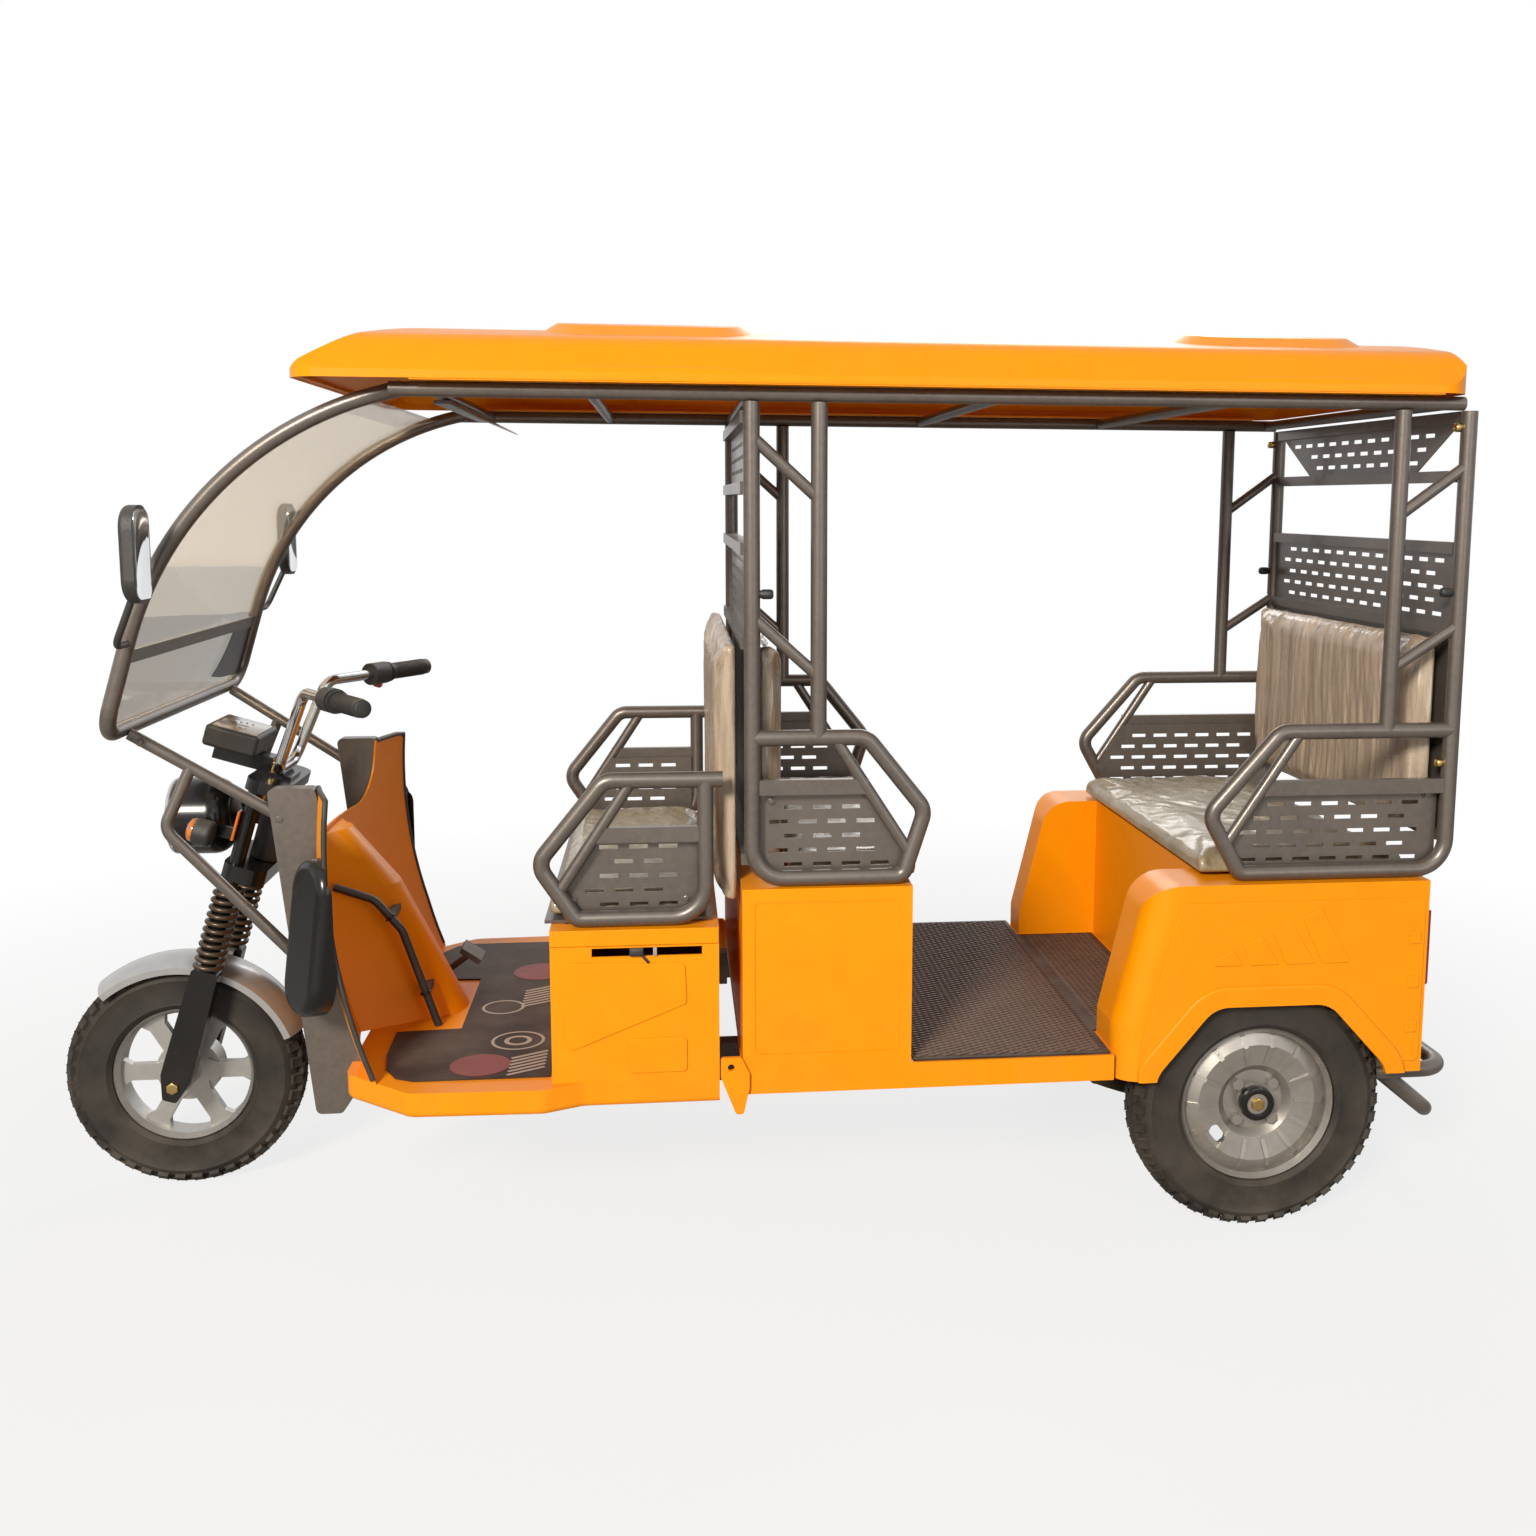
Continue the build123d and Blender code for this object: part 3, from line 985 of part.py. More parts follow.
LEAF = 22.0
LEAF_WIDTH = 48.0
LEAF_END = 8.0
leaf_top = axle_at[1] - AXLE_R - SEAT_GAP
leaf_y = around(sum(CHASSIS_RAIL_Y) / 2, LEAF_WIDTH)
eyes_x = (axle_at[0] - SPRING_HALF_SPAN, axle_at[0] + SPRING_HALF_SPAN)
leaf_arcs = []
for drop in (0, LEAF):
    ends = [(x, leaf_y[0], SPRING_EYE_Z + LEAF_END - drop) for x in eyes_x]
    leaf_arcs.append(ThreePointArc(ends[0], (axle_at[0], leaf_y[0], leaf_top - drop), ends[1]))
leaf_caps = [Line(leaf_arcs[0] @ end, leaf_arcs[1] @ end) for end in (0, 1)]
leaf = extrude(make_face(Wire.combine(leaf_arcs + leaf_caps)[0]), amount=LEAF_WIDTH, dir=(0, 1, 0))
eyes = [bar((x, leaf_y[0], SPRING_EYE_Z), (x, leaf_y[1], SPRING_EYE_Z), SPRING_EYE_R) for x in eyes_x]
save("leaf_springs", *pair(fuse(leaf, eyes)))

# Wheels, turned about the Y axis at the origin and then moved to their axles
TYRE_SIDE = ((-10.0, 16.0), (12.0, 4.0), (34.0, 0.0))
TYRE_TREAD = ((-16.0, 6.0), (-3.0, 20.0), (0.0, 32.0))
RIM_LIP = 6.0
RIM_STEP = 4.0


def turned(points):
    return revolve(make_face(Polyline(*[(r, y, 0) for r, y in points], close=True)), Axis.Y)


def both_sides(points):
    return turned(points + [(r, -y) for r, y in reversed(points)])


def tyre(outer, width, rim):
    side = [(rim + out, inset - width / 2) for out, inset in TYRE_SIDE]
    tread = [(outer + out, inset - width / 2) for out, inset in TYRE_TREAD]
    return both_sides(side + tread)


def rim_band(rim, width):
    seat = rim + TYRE_SIDE[0][0] - SEAT_GAP
    half = width / 2 - TYRE_SIDE[0][1]
    lip = [(seat - 3 * RIM_STEP, RIM_LIP), (seat - 2 * RIM_STEP, 0), (seat - RIM_STEP, -RIM_LIP), (seat, 0)]
    return both_sides([(r, out - half) for r, out in lip])


def ring_of(count, solid, start=0.0):
    return [Rot(0, start + number * 360 / count, 0) * solid for number in range(count)]


def on_hub(y_low, y_high, radius):
    return bar((0, y_low, 0), (0, y_high, 0), radius)


FRONT_HUB = (62.0, 26.0)
FRONT_DRUM = (-42.0, 6.0, 64.0)
SPOKES = 6
SPOKE_Y = (-6.0, 12.0)
SPOKE = ((24.0, 30.0), (60.0, 17.0), (110.0, 17.0), (134.0, 32.0))
spoke = plate([*SPOKE, *[(r, -half) for r, half in reversed(SPOKE)]], SPOKE_Y)
front_rim = rim_band(FRONT_RIM_R, FRONT_TYRE_WIDTH) + on_hub(-FRONT_HUB[0], FRONT_HUB[0], FRONT_HUB[1])
front_rim = fuse(front_rim + on_hub(*FRONT_DRUM), ring_of(SPOKES, spoke))
front_rim -= on_hub(-FRONT_TYRE_WIDTH, FRONT_TYRE_WIDTH, FRONT_AXLE_R + RUN_GAP)
front_at = Pos(FRONT_AXLE_X, 0, FRONT_TYRE_R)
save("front_tyre", front_at * tyre(FRONT_TYRE_R, FRONT_TYRE_WIDTH, FRONT_RIM_R))
save("front_rim", front_at * front_rim)

DISC = 6.0
DISC_FACE = [(0.0, 8.0), (60.0, 8.0), (74.0, 22.0), (118.0, 30.0), (REAR_RIM_R - 20.0, 16.0)]
FLUTES = 14
FLUTE = ((78.0, 16.0), (78.0, 25.0), (116.0, 34.0), (138.0, 24.0), (138.0, 16.0))
FLUTE_WIDTH = 9.0
HUB_CAP = (2.0, 36.0, 30.0)
HUB_CAP_ROUND = 5.0
REAR_DRUM_R = 78.0
SHAFT_LEFT = 45.0
NUTS = 4
NUT = (4.0, 24.0, 12.0)
NUT_CIRCLE_R = 50.0
NUT_START = 45.0
VENT = (40.0, 22.0)
VENT_R = 98.0
VENT_ANGLE = 38.0
rear_rim = rim_band(REAR_RIM_R, REAR_TYRE_WIDTH)
rear_rim += turned(DISC_FACE + [(r, y - DISC) for r, y in reversed(DISC_FACE)])
flute_face = make_face(Polyline(*[(r, y, -FLUTE_WIDTH / 2) for r, y in FLUTE], close=True))
rear_rim = fuse(rear_rim, ring_of(FLUTES, extrude(flute_face, amount=FLUTE_WIDTH, dir=(0, 0, 1))))
cap = on_hub(*HUB_CAP)
rear_rim += fillet(cap.faces().sort_by(Axis.Y)[-1].edges(), HUB_CAP_ROUND)
rear_rim += on_hub(RIM_LIP - HUB_BACK, NUT[0], REAR_DRUM_R)
rear_rim += on_hub(-HUB_BACK - SHAFT_LEFT, NUT[0], SHAFT_R)
nut_place = Plane(origin=(NUT_CIRCLE_R, NUT[0], 0), z_dir=(0, 1, 0))
nut = extrude(nut_place * RegularPolygon(NUT[2], 6), amount=NUT[1] - NUT[0])
rear_rim = fuse(rear_rim, ring_of(NUTS, nut, NUT_START))
vent_place = Plane(origin=(VENT_R, 0, 0), x_dir=(0, 0, 1), z_dir=(0, 1, 0))
vent = extrude(vent_place * SlotOverall(*VENT), amount=REAR_TYRE_WIDTH)
rear_rim -= Rot(0, VENT_ANGLE, 0) * vent
rear_tyre = tyre(REAR_TYRE_R, REAR_TYRE_WIDTH, REAR_RIM_R)
for name, side in (("left", 0), ("right", 1)):
    for part_name, solid in (("tyre", rear_tyre), ("rim", rear_rim)):
        placed = Pos(REAR_AXLE_X, REAR_WHEEL_Y, REAR_TYRE_R) * solid
        save(f"rear_{part_name}_{name}", pair(placed)[side])

# Front fork: flat sliders, tubes, rounded clamps, stem, wheel axle and lamp stays
SPRING_Z = (250.0, 432.0)
SLIDER = ((26.0, SPRING_Z[0]), (30.0, 60.0), (30.0, 20.0), (14.0, -30.0))
SLIDER_HALF = 18.0
SLIDER_ROUND = 7.0
AXLE_END = 16.0
FORK_TOP = 656.0
CLAMP = (85.0, 228.0, 30.0)
CLAMP_X = 16.5
CLAMP_LOW = 446.0
CLAMP_GAP = 2.0
STAY = ((FORK_OFFSET + WALL, 120.0), (520.0, 544.0))
STAY_Y = (LAMP_R + SEAT_GAP, FORK_LEG_Y - WALL)
RISER_BASE = ((-14.0, 34.0), 40.0)
BAR_Z = 674.0
INSTRUMENT_ARM = ((34.0, 150.0), 22.0, (FORK_TOP, 688.0))


def clamp(z_low, z_high):
    return Pos(CLAMP_X, 0, z_low) * extrude(RectangleRounded(*CLAMP), amount=z_high - z_low)


axle_reach = FORK_LEG_Y + AXLE_END
fork = bar((FORK_OFFSET, -axle_reach, 0), (FORK_OFFSET, axle_reach, 0), FRONT_AXLE_R)
slider_points = [(FORK_OFFSET + half, z) for half, z in SLIDER]
slider_points += [(FORK_OFFSET - half, z) for half, z in reversed(SLIDER)]
leg = plate(slider_points, around(FORK_LEG_Y, 2 * SLIDER_HALF), SLIDER_ROUND)
leg += bar((FORK_OFFSET, FORK_LEG_Y, 0), (FORK_OFFSET, FORK_LEG_Y, FORK_TOP), FORK_TUBE_R)
leg += box(STAY[0], STAY_Y, STAY[1])
fork = fuse(fork, pair(leg))
fork += clamp(CLAMP_LOW, HEAD_Z[0] - CLAMP_GAP) + clamp(HEAD_Z[1] + CLAMP_GAP, FORK_TOP)
fork += bar((0, 0, CLAMP_LOW + WALL), (0, 0, FORK_TOP), STEM_R)
fork += wide_box(RISER_BASE[0], RISER_BASE[1], (FORK_TOP, BAR_Z - BAR_R - SEAT_GAP))
fork += wide_box(*INSTRUMENT_ARM)
save("front_fork", steer * fork)

# Coil springs round the fork tubes
COIL_R = 30.0
COIL_WIRE = 6.0
COILS = 11
coil_bore = FORK_TUBE_R + SEAT_GAP
coil_pitch = (SPRING_Z[1] - SPRING_Z[0] - SEAT_GAP) / COILS
coil_points = []
for number in range(COILS):
    low = SPRING_Z[0] + SEAT_GAP + number * coil_pitch
    crest = [(COIL_R, low + coil_pitch / 4), (COIL_R, low + coil_pitch * 3 / 4)]
    coil_points += [(COIL_R - COIL_WIRE, low), *crest]
coil_points += [(COIL_R - COIL_WIRE, SPRING_Z[1]), (coil_bore, SPRING_Z[1])]
coil_points.append((coil_bore, SPRING_Z[0] + SEAT_GAP))
coil = revolve(make_face(Polyline(*[(r, 0, z) for r, z in coil_points], close=True)), Axis.Z)
save("fork_springs", *[steer * Pos(FORK_OFFSET, y, 0) * coil for y in (-FORK_LEG_Y, FORK_LEG_Y)])

# Handlebar with grips and switch housings
BAR_FOOT = (10.0, 72.0)
BAR_ELBOW = (-5.0, 100.0, 850.0)
BAR_END = (-158.0, 360.0, 898.0)
BAR_BEND = 36.0
GRIP = 125.0
GRIP_R = 17.0
GRIP_END = 3.0
FLANGE = 6.0
FLANGE_R = 22.0
SWITCH = 46.0
SWITCH_R = 24.0
elbow = Vector(*BAR_ELBOW)
bar_end = Vector(*BAR_END)
bar_half = [Vector(BAR_FOOT[0], BAR_FOOT[1], BAR_Z), elbow, bar_end]
save("handlebar", steer * tube([across(point) for point in reversed(bar_half)] + bar_half, BAR_R, BAR_BEND))
grip_way = (bar_end - elbow).normalized()
grip_start = bar_end - grip_way * GRIP
grip_bore = BAR_R + SEAT_GAP
grip = bar(grip_start - grip_way * FLANGE, bar_end + grip_way * GRIP_END, GRIP_R, grip_bore)
grip += bar(grip_start, grip_start + grip_way * FLANGE, FLANGE_R, grip_bore)
switch = bar(grip_start - grip_way * (SWITCH + FLANGE), grip_start - grip_way * FLANGE, SWITCH_R, grip_bore)
save("hand_grips", *[steer * piece for piece in pair(grip + switch)])

# Headlamp, turn signals and instrument box
LAMP_AT = (1108.0, 773.0)
LAMP_DEPTH = 112.0
LAMP_BACK_ROUND = 40.0
LAMP_RIM_ROUND = 8.0
lamp = Pos(LAMP_AT[0], 0, LAMP_AT[1]) * Rot(0, 90, 0) * Cylinder(LAMP_R, LAMP_DEPTH)
lamp = fillet(lamp.faces().sort_by(Axis.X)[0].edges(), LAMP_BACK_ROUND)
lamp = fillet(lamp.faces().sort_by(Axis.X)[-1].edges(), LAMP_RIM_ROUND)
save("headlamp", lamp)

SIGNAL_X = (84.0, 124.0)
SIGNAL_Y = 126.0
SIGNAL_R = 26.0
SIGNAL_ROUND = 10.0
SIGNAL_STEM_R = 7.0
signal_z = sum(STAY[1]) / 2
signal = bar((SIGNAL_X[0], SIGNAL_Y, signal_z), (SIGNAL_X[1], SIGNAL_Y, signal_z), SIGNAL_R)
signal = fillet(signal.edges().filter_by(GeomType.CIRCLE), SIGNAL_ROUND)
stem_x = sum(SIGNAL_X) / 2
signal += bar((stem_x, STAY_Y[1] + SEAT_GAP, signal_z), (stem_x, SIGNAL_Y, signal_z), SIGNAL_STEM_R)
save("turn_signals", *[steer * piece for piece in pair(signal)])

INSTRUMENT = (106.0, 150.0, 44.0)
INSTRUMENT_X = 112.0
INSTRUMENT_ROUND = 8.0
DIAL_BORDER = 9.0
DIAL_SINK = 2.0
instrument = fillet(Box(*INSTRUMENT).edges(), INSTRUMENT_ROUND)
dial = RectangleRounded(INSTRUMENT[0] - 2 * DIAL_BORDER, INSTRUMENT[1] - 2 * DIAL_BORDER, INSTRUMENT_ROUND)
instrument -= Pos(0, 0, INSTRUMENT[2] / 2 - DIAL_SINK) * extrude(dial, amount=DIAL_SINK + CUT)
instrument_z = INSTRUMENT_ARM[2][1] + SEAT_GAP + INSTRUMENT[2] / 2
save("instrument_box", steer * Pos(INSTRUMENT_X, 0, instrument_z) * instrument)

# Front mudguard: a crowned strip bent round the wheel, on two ears
GUARD_IN = FRONT_TYRE_R + 16.0
GUARD_ANGLES = (50.0, 160.0)
GUARD_HALF = 58.0
GUARD_CROWN = 20.0
GUARD_SKIRT = 10.0
EAR_X = around(FORK_OFFSET, 24.0)
EAR_Z = (226.0, 246.0)
guard_arcs = []
for out in (0.0, SHEET):
    half = GUARD_HALF - SHEET + out
    crown = (GUARD_IN + out, 0, 0)
    ends = [(GUARD_IN + out - GUARD_CROWN, side * half, 0) for side in (-1, 1)]
    guard_arcs.append([ThreePointArc(ends[0], crown, ends[1])])
    for end in ends:
        guard_arcs[-1].append(Line(end, (GUARD_IN - GUARD_CROWN - GUARD_SKIRT, end[1], 0)))
hems = [Line(guard_arcs[0][number] @ 1, guard_arcs[1][number] @ 1) for number in (1, 2)]
guard_face = make_face(Wire.combine(guard_arcs[0] + guard_arcs[1] + hems)[0])
mudguard = revolve(guard_face, Axis.Y, revolution_arc=GUARD_ANGLES[1] - GUARD_ANGLES[0])
mudguard = front_at * Rot(0, -GUARD_ANGLES[1], 0) * mudguard
ear = box(EAR_X, (GUARD_HALF - SHEET / 2, FORK_LEG_Y - SLIDER_HALF - SEAT_GAP), EAR_Z)
save("front_mudguard", fuse(mudguard, [steer * piece for piece in pair(ear)]))
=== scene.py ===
# %% [markdown]
# # An electric passenger tricycle
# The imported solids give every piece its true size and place. This lesson loads them as a fixed frame,
# sets up a camera and a plain studio, paints each surface, and models what solids leave out:
# padded seats, tyre tread, coil springs, mats, trim, glass and fasteners.

# %% Load the frame
import math

import bmesh
import bpy
from mathutils import Matrix, Vector, noise


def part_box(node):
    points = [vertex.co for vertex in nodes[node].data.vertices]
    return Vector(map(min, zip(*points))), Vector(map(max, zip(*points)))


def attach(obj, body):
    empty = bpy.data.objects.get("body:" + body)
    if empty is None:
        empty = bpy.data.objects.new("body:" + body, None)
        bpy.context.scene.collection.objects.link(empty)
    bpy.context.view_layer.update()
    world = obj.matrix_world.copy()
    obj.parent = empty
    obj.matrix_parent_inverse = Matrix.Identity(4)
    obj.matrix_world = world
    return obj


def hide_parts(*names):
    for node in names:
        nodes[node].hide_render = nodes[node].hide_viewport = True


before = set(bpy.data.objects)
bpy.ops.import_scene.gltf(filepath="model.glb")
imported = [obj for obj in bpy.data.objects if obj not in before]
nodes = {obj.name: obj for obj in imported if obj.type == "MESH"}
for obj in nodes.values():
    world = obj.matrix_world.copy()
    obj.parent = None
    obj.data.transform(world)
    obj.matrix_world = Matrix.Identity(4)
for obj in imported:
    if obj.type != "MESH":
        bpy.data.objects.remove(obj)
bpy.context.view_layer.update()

scene = bpy.context.scene

# %% [markdown]
# ## Camera
# The photograph was taken from the left side, a little ahead of the middle, with a normal lens held at
# about eye height. The camera's place, its three angles and its lens were worked out from the wheels,
# the pillars and the roof, and the lens is shifted a little because the picture is a crop.

# %% Camera
IMAGE = 1536
CAMERA_AT = Vector((0.1624, 3.1855, 1.4170))
YAW, PITCH, ROLL = -0.1181, 0.1330, 0.0059
FOCAL_PIXELS = 1520.68
CENTRE_PIXEL = (850.80, 704.57)

look = Vector((math.sin(YAW) * math.cos(PITCH), -math.cos(YAW) * math.cos(PITCH), -math.sin(PITCH)))
flat_right = Vector((-math.cos(YAW), -math.sin(YAW), 0.0))
flat_up = flat_right.cross(look)
right = math.cos(ROLL) * flat_right + math.sin(ROLL) * flat_up
up = math.cos(ROLL) * flat_up - math.sin(ROLL) * flat_right
turn = Matrix((right, up, -look)).transposed().to_4x4()

camera_data = bpy.data.cameras.new("camera")
camera_data.sensor_width = 36.0
camera_data.lens = FOCAL_PIXELS / IMAGE * camera_data.sensor_width
camera_data.shift_x = 0.5 - CENTRE_PIXEL[0] / IMAGE
camera_data.shift_y = CENTRE_PIXEL[1] / IMAGE - 0.5
camera_data.clip_end = 100.0
camera = bpy.data.objects.new("camera", camera_data)
camera.matrix_world = Matrix.Translation(CAMERA_AT) @ turn
scene.collection.objects.link(camera)
scene.camera = camera
print("lens", round(camera_data.lens, 2), "mm")

# %% [markdown]
# ## Working by hand in code
# Every new piece starts from a primitive and is shaped with the same operators as in the viewport.
# These helpers only save typing: they clear the selection, add a primitive, pick faces by a test,
# and finish a piece by baking its place into the mesh and tying it to a moving body.

# %% Modelling helpers
def clear_selection():
    if bpy.context.object and bpy.context.object.mode != "OBJECT":
        bpy.ops.object.mode_set(mode="OBJECT")
    bpy.ops.object.select_all(action="DESELECT")


def activate(piece):
    clear_selection()
    piece.select_set(True)
    bpy.context.view_layer.objects.active = piece


def named(name):
    piece = bpy.context.object
    piece.name = name
    piece.data.name = name
    return piece


def apply_place(piece):
    activate(piece)
    bpy.ops.object.transform_apply(location=True, rotation=True, scale=True)
    return piece


def cube(name, centre, size, turn=(0, 0, 0)):
    clear_selection()
    bpy.ops.mesh.primitive_cube_add(size=1.0, location=centre, rotation=turn)
    piece = named(name)
    piece.scale = size
    return apply_place(piece)


def drum(name, centre, radius, depth, axis=(0, 0, 1), sides=32, tip=None):
    clear_selection()
    turn = Vector(axis).to_track_quat("Z", "Y").to_euler()
    bpy.ops.mesh.primitive_cone_add(
        vertices=sides, radius1=radius, radius2=radius if tip is None else tip, depth=depth,
        location=centre, rotation=turn,
    )
    return apply_place(named(name))


def ring(name, centre, radius, tube, axis=(0, 0, 1), sides=40, tube_sides=10):
    clear_selection()
    turn = Vector(axis).to_track_quat("Z", "Y").to_euler()
    bpy.ops.mesh.primitive_torus_add(
        major_radius=radius, minor_radius=tube, major_segments=sides, minor_segments=tube_sides,
        location=centre, rotation=turn,
    )
    return apply_place(named(name))


def edit(piece):
    activate(piece)
    bpy.ops.object.mode_set(mode="EDIT")
    bpy.ops.mesh.select_all(action="DESELECT")


def done():
    bpy.ops.object.mode_set(mode="OBJECT")


def pick(piece, test, kind="FACE"):
    bpy.ops.mesh.select_mode(type=kind)
    mesh = bmesh.from_edit_mesh(piece.data)
    items = {"FACE": mesh.faces, "EDGE": mesh.edges, "VERT": mesh.verts}[kind]
    for item in items:
        item.select_set(bool(test(item)))
    mesh.select_flush_mode()
    bmesh.update_edit_mesh(piece.data)


def modify(piece, kind, **values):
    activate(piece)
    modifier = piece.modifiers.new(kind.lower(), kind)
    for key, value in values.items():
        setattr(modifier, key, value)
    bpy.ops.object.modifier_apply(modifier=modifier.name)
    return piece


def round_edges(piece, width, segments=2, angle=30):
    return modify(
        piece, "BEVEL", width=width, segments=segments, limit_method="ANGLE",
        angle_limit=math.radians(angle), harden_normals=False,
    )


def trace(name, points):
    """A chain of edges: one corner of a plane is kept and extruded from point to point."""
    clear_selection()
    bpy.ops.mesh.primitive_plane_add(size=0.01, location=points[0])
    piece = apply_place(named(name))
    edit(piece)
    bpy.ops.mesh.select_mode(type="VERT")
    bpy.ops.mesh.select_all(action="SELECT")
    bpy.ops.mesh.merge(type="CENTER")
    last = Vector(points[0])
    for point in points[1:]:
        step = Vector(point) - last
        bpy.ops.mesh.extrude_vertices_move(TRANSFORM_OT_translate={"value": step})
        last = Vector(point)
    return piece


def spun(name, points, centre, axis, steps=48, angle=2 * math.pi):
    """A turned piece: the traced chain is spun about an axis and welded."""
    piece = trace(name, points)
    bpy.ops.mesh.select_all(action="SELECT")
    bpy.ops.mesh.spin(steps=steps, angle=angle, center=centre, axis=axis)
    bpy.ops.mesh.select_all(action="SELECT")
    bpy.ops.mesh.remove_doubles(threshold=0.00005)
    bpy.ops.mesh.normals_make_consistent(inside=False)
    done()
    return piece


def join(pieces, name):
    clear_selection()
    for piece in pieces:
        piece.select_set(True)
    bpy.context.view_layer.objects.active = pieces[0]
    bpy.ops.object.join()
    return named(name)


def copy_piece(piece, name, move=(0, 0, 0)):
    activate(piece)
    bpy.ops.object.duplicate(linked=False)
    twin = named(name)
    twin.location = move
    return apply_place(twin)


def mirrored(piece, name):
    """The same piece on the other side of the vehicle, with its faces turned right side out."""
    twin = copy_piece(piece, name)
    twin.scale = (1, -1, 1)
    apply_place(twin)
    edit(twin)
    bpy.ops.mesh.select_all(action="SELECT")
    bpy.ops.mesh.flip_normals()
    done()
    return twin


def both_sides(left, name):
    """A piece of the left side joined with its mirror image."""
    return join([left, mirrored(left, name + "_right")], name)


def press(piece, axis, thickness, depth):
    """Inset the face that looks along an axis and push it in or out."""
    edit(piece)
    pick(piece, lambda face: face.normal.dot(Vector(axis)) > 0.9)
    bpy.ops.mesh.inset(thickness=thickness, depth=depth)
    done()
    return piece


def finish(piece, material, body="chassis", angle=35):
    activate(piece)
    bpy.ops.object.shade_smooth_by_angle(angle=math.radians(angle))
    piece.data.materials.clear()
    piece.data.materials.append(material)
    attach(piece, body)
    return piece


print("helpers ready")

# %% [markdown]
# ## Studio
# A plain pale floor catches the shadow and a white world shows behind; further out the floor fades to the
# same white, so no horizon shows. A warm key light from the front left stands for the low sun of the
# picture, a weak fill keeps the far side readable, and all of it stays at a level where a paint renders
# about as it is written.

# %% Studio
def lamp(name, place, target, size, power, colour):
    data = bpy.data.lights.new(name, "AREA")
    data.shape = "DISK"
    data.size = size
    data.energy = power
    data.color = colour
    light = bpy.data.objects.new(name, data)
    light.location = place
    aim = Vector(target) - Vector(place)
    light.rotation_euler = aim.to_track_quat("-Z", "Y").to_euler()
    scene.collection.objects.link(light)
    return light


lamp("key", (3.6, 7.6, 5.0), (0.0, 0.0, 0.8), 2.2, 1020, (1.0, 0.93, 0.82))
lamp("fill", (-2.4, 5.0, 2.0), (-0.4, 0.0, 0.7), 3.0, 40, (1.0, 0.97, 0.93))
lamp("back", (-1.5, -4.2, 3.6), (0.0, 0.0, 0.9), 3.0, 90, (1.0, 0.98, 0.95))


def put(node, **values):
    """Values for a node's sockets, named with _ for a space."""
    for key, value in values.items():
        node.inputs[key.replace("_", " ")].default_value = value


def add(tree, kind, links=(), **values):
    """A shader node with its properties, socket values and incoming links set in one call."""
    node = tree.nodes.new("ShaderNode" + kind)
    for key, value in values.items():
        if key.startswith("in_"):
            node.inputs[int(key[3:])].default_value = value
        else:
            setattr(node, key, value)
    for source, target in links:
        tree.links.new(source, node.inputs[target])
    return node


def maths(tree, operation, first, second, **values):
    return add(tree, "Math", [(first, 0), (second, 1)], operation=operation, **values).outputs[0]


def mapped(tree, value, start=0.0, end=1.0, low=0.0, high=1.0):
    """A value carried over from one range to another."""
    return add(tree, "MapRange", [(value, 0)], in_1=start, in_2=end, in_3=low, in_4=high).outputs[0]


def blank_paint(name):
    """A new material with its node tree and its shader."""
    paint = bpy.data.materials.new(name)
    paint.use_nodes = True
    return paint, paint.node_tree, paint.node_tree.nodes["Principled BSDF"]


AMBIENT = 0.125
FADE_FROM, FADE_TO = 1.6, 3.6
FLOOR_GLOW = 0.80

scene.world = bpy.data.worlds.new("studio")
scene.world.use_nodes = True
tree = scene.world.node_tree
tree.nodes.clear()
ambient = add(tree, "Background", in_0=(1.0, 0.985, 0.96, 1.0), in_1=AMBIENT)
white = add(tree, "Background", in_0=(1.0, 1.0, 1.0, 1.0), in_1=1.0)
rays = add(tree, "LightPath").outputs
seen = maths(tree, "MAXIMUM", rays["Is Camera Ray"], rays["Is Transmission Ray"])
seen = maths(tree, "MAXIMUM", seen, rays["Is Glossy Ray"])
mix = add(tree, "MixShader", [(seen, 0), (ambient.outputs[0], 1), (white.outputs[0], 2)])
add(tree, "OutputWorld", [(mix.outputs[0], "Surface")])

clear_selection()
bpy.ops.mesh.primitive_plane_add(size=60.0, location=(0, 0, -0.0005))
floor = named("studio_floor")
floor_paint, tree, matte = blank_paint("studio_floor")
put(matte, Base_Color=(0.5, 0.5, 0.5, 1.0), Roughness=0.9)
glow = add(tree, "Emission", in_1=1.0)
reach = add(tree, "VectorMath", [(add(tree, "TexCoord").outputs["Object"], 0)], operation="LENGTH")
fade = mapped(tree, reach.outputs["Value"], start=FADE_FROM, end=FADE_TO, low=FLOOR_GLOW, high=1.0)
camera_ray = add(tree, "LightPath").outputs["Is Camera Ray"]
share = maths(tree, "MULTIPLY", camera_ray, fade)
blend = add(tree, "MixShader", [(share, 0), (matte.outputs[0], 1), (glow.outputs[0], 2)])
tree.links.new(blend.outputs[0], tree.nodes["Material Output"].inputs["Surface"])
floor.data.materials.append(floor_paint)
print("studio ready")

# %% [markdown]
# ## Shared surface effects
# Paint, steel and plastic all carry the same small truths: their colour drifts a little, dust settles on
# faces that look up, and the surface is never quite flat. Each effect is one shader node group, built
# once and placed in many materials with its own values. A group only puts out masks and heights.

# %% Shader groups
def node_group(name, inputs, outputs):
    group = bpy.data.node_groups.new(name, "ShaderNodeTree")
    for label, value in inputs:
        socket = group.interface.new_socket(label, in_out="INPUT", socket_type="NodeSocketFloat")
        socket.default_value = value
    for label in outputs:
        group.interface.new_socket(label, in_out="OUTPUT", socket_type="NodeSocketFloat")
    return group, group.nodes.new("NodeGroupInput"), group.nodes.new("NodeGroupOutput")


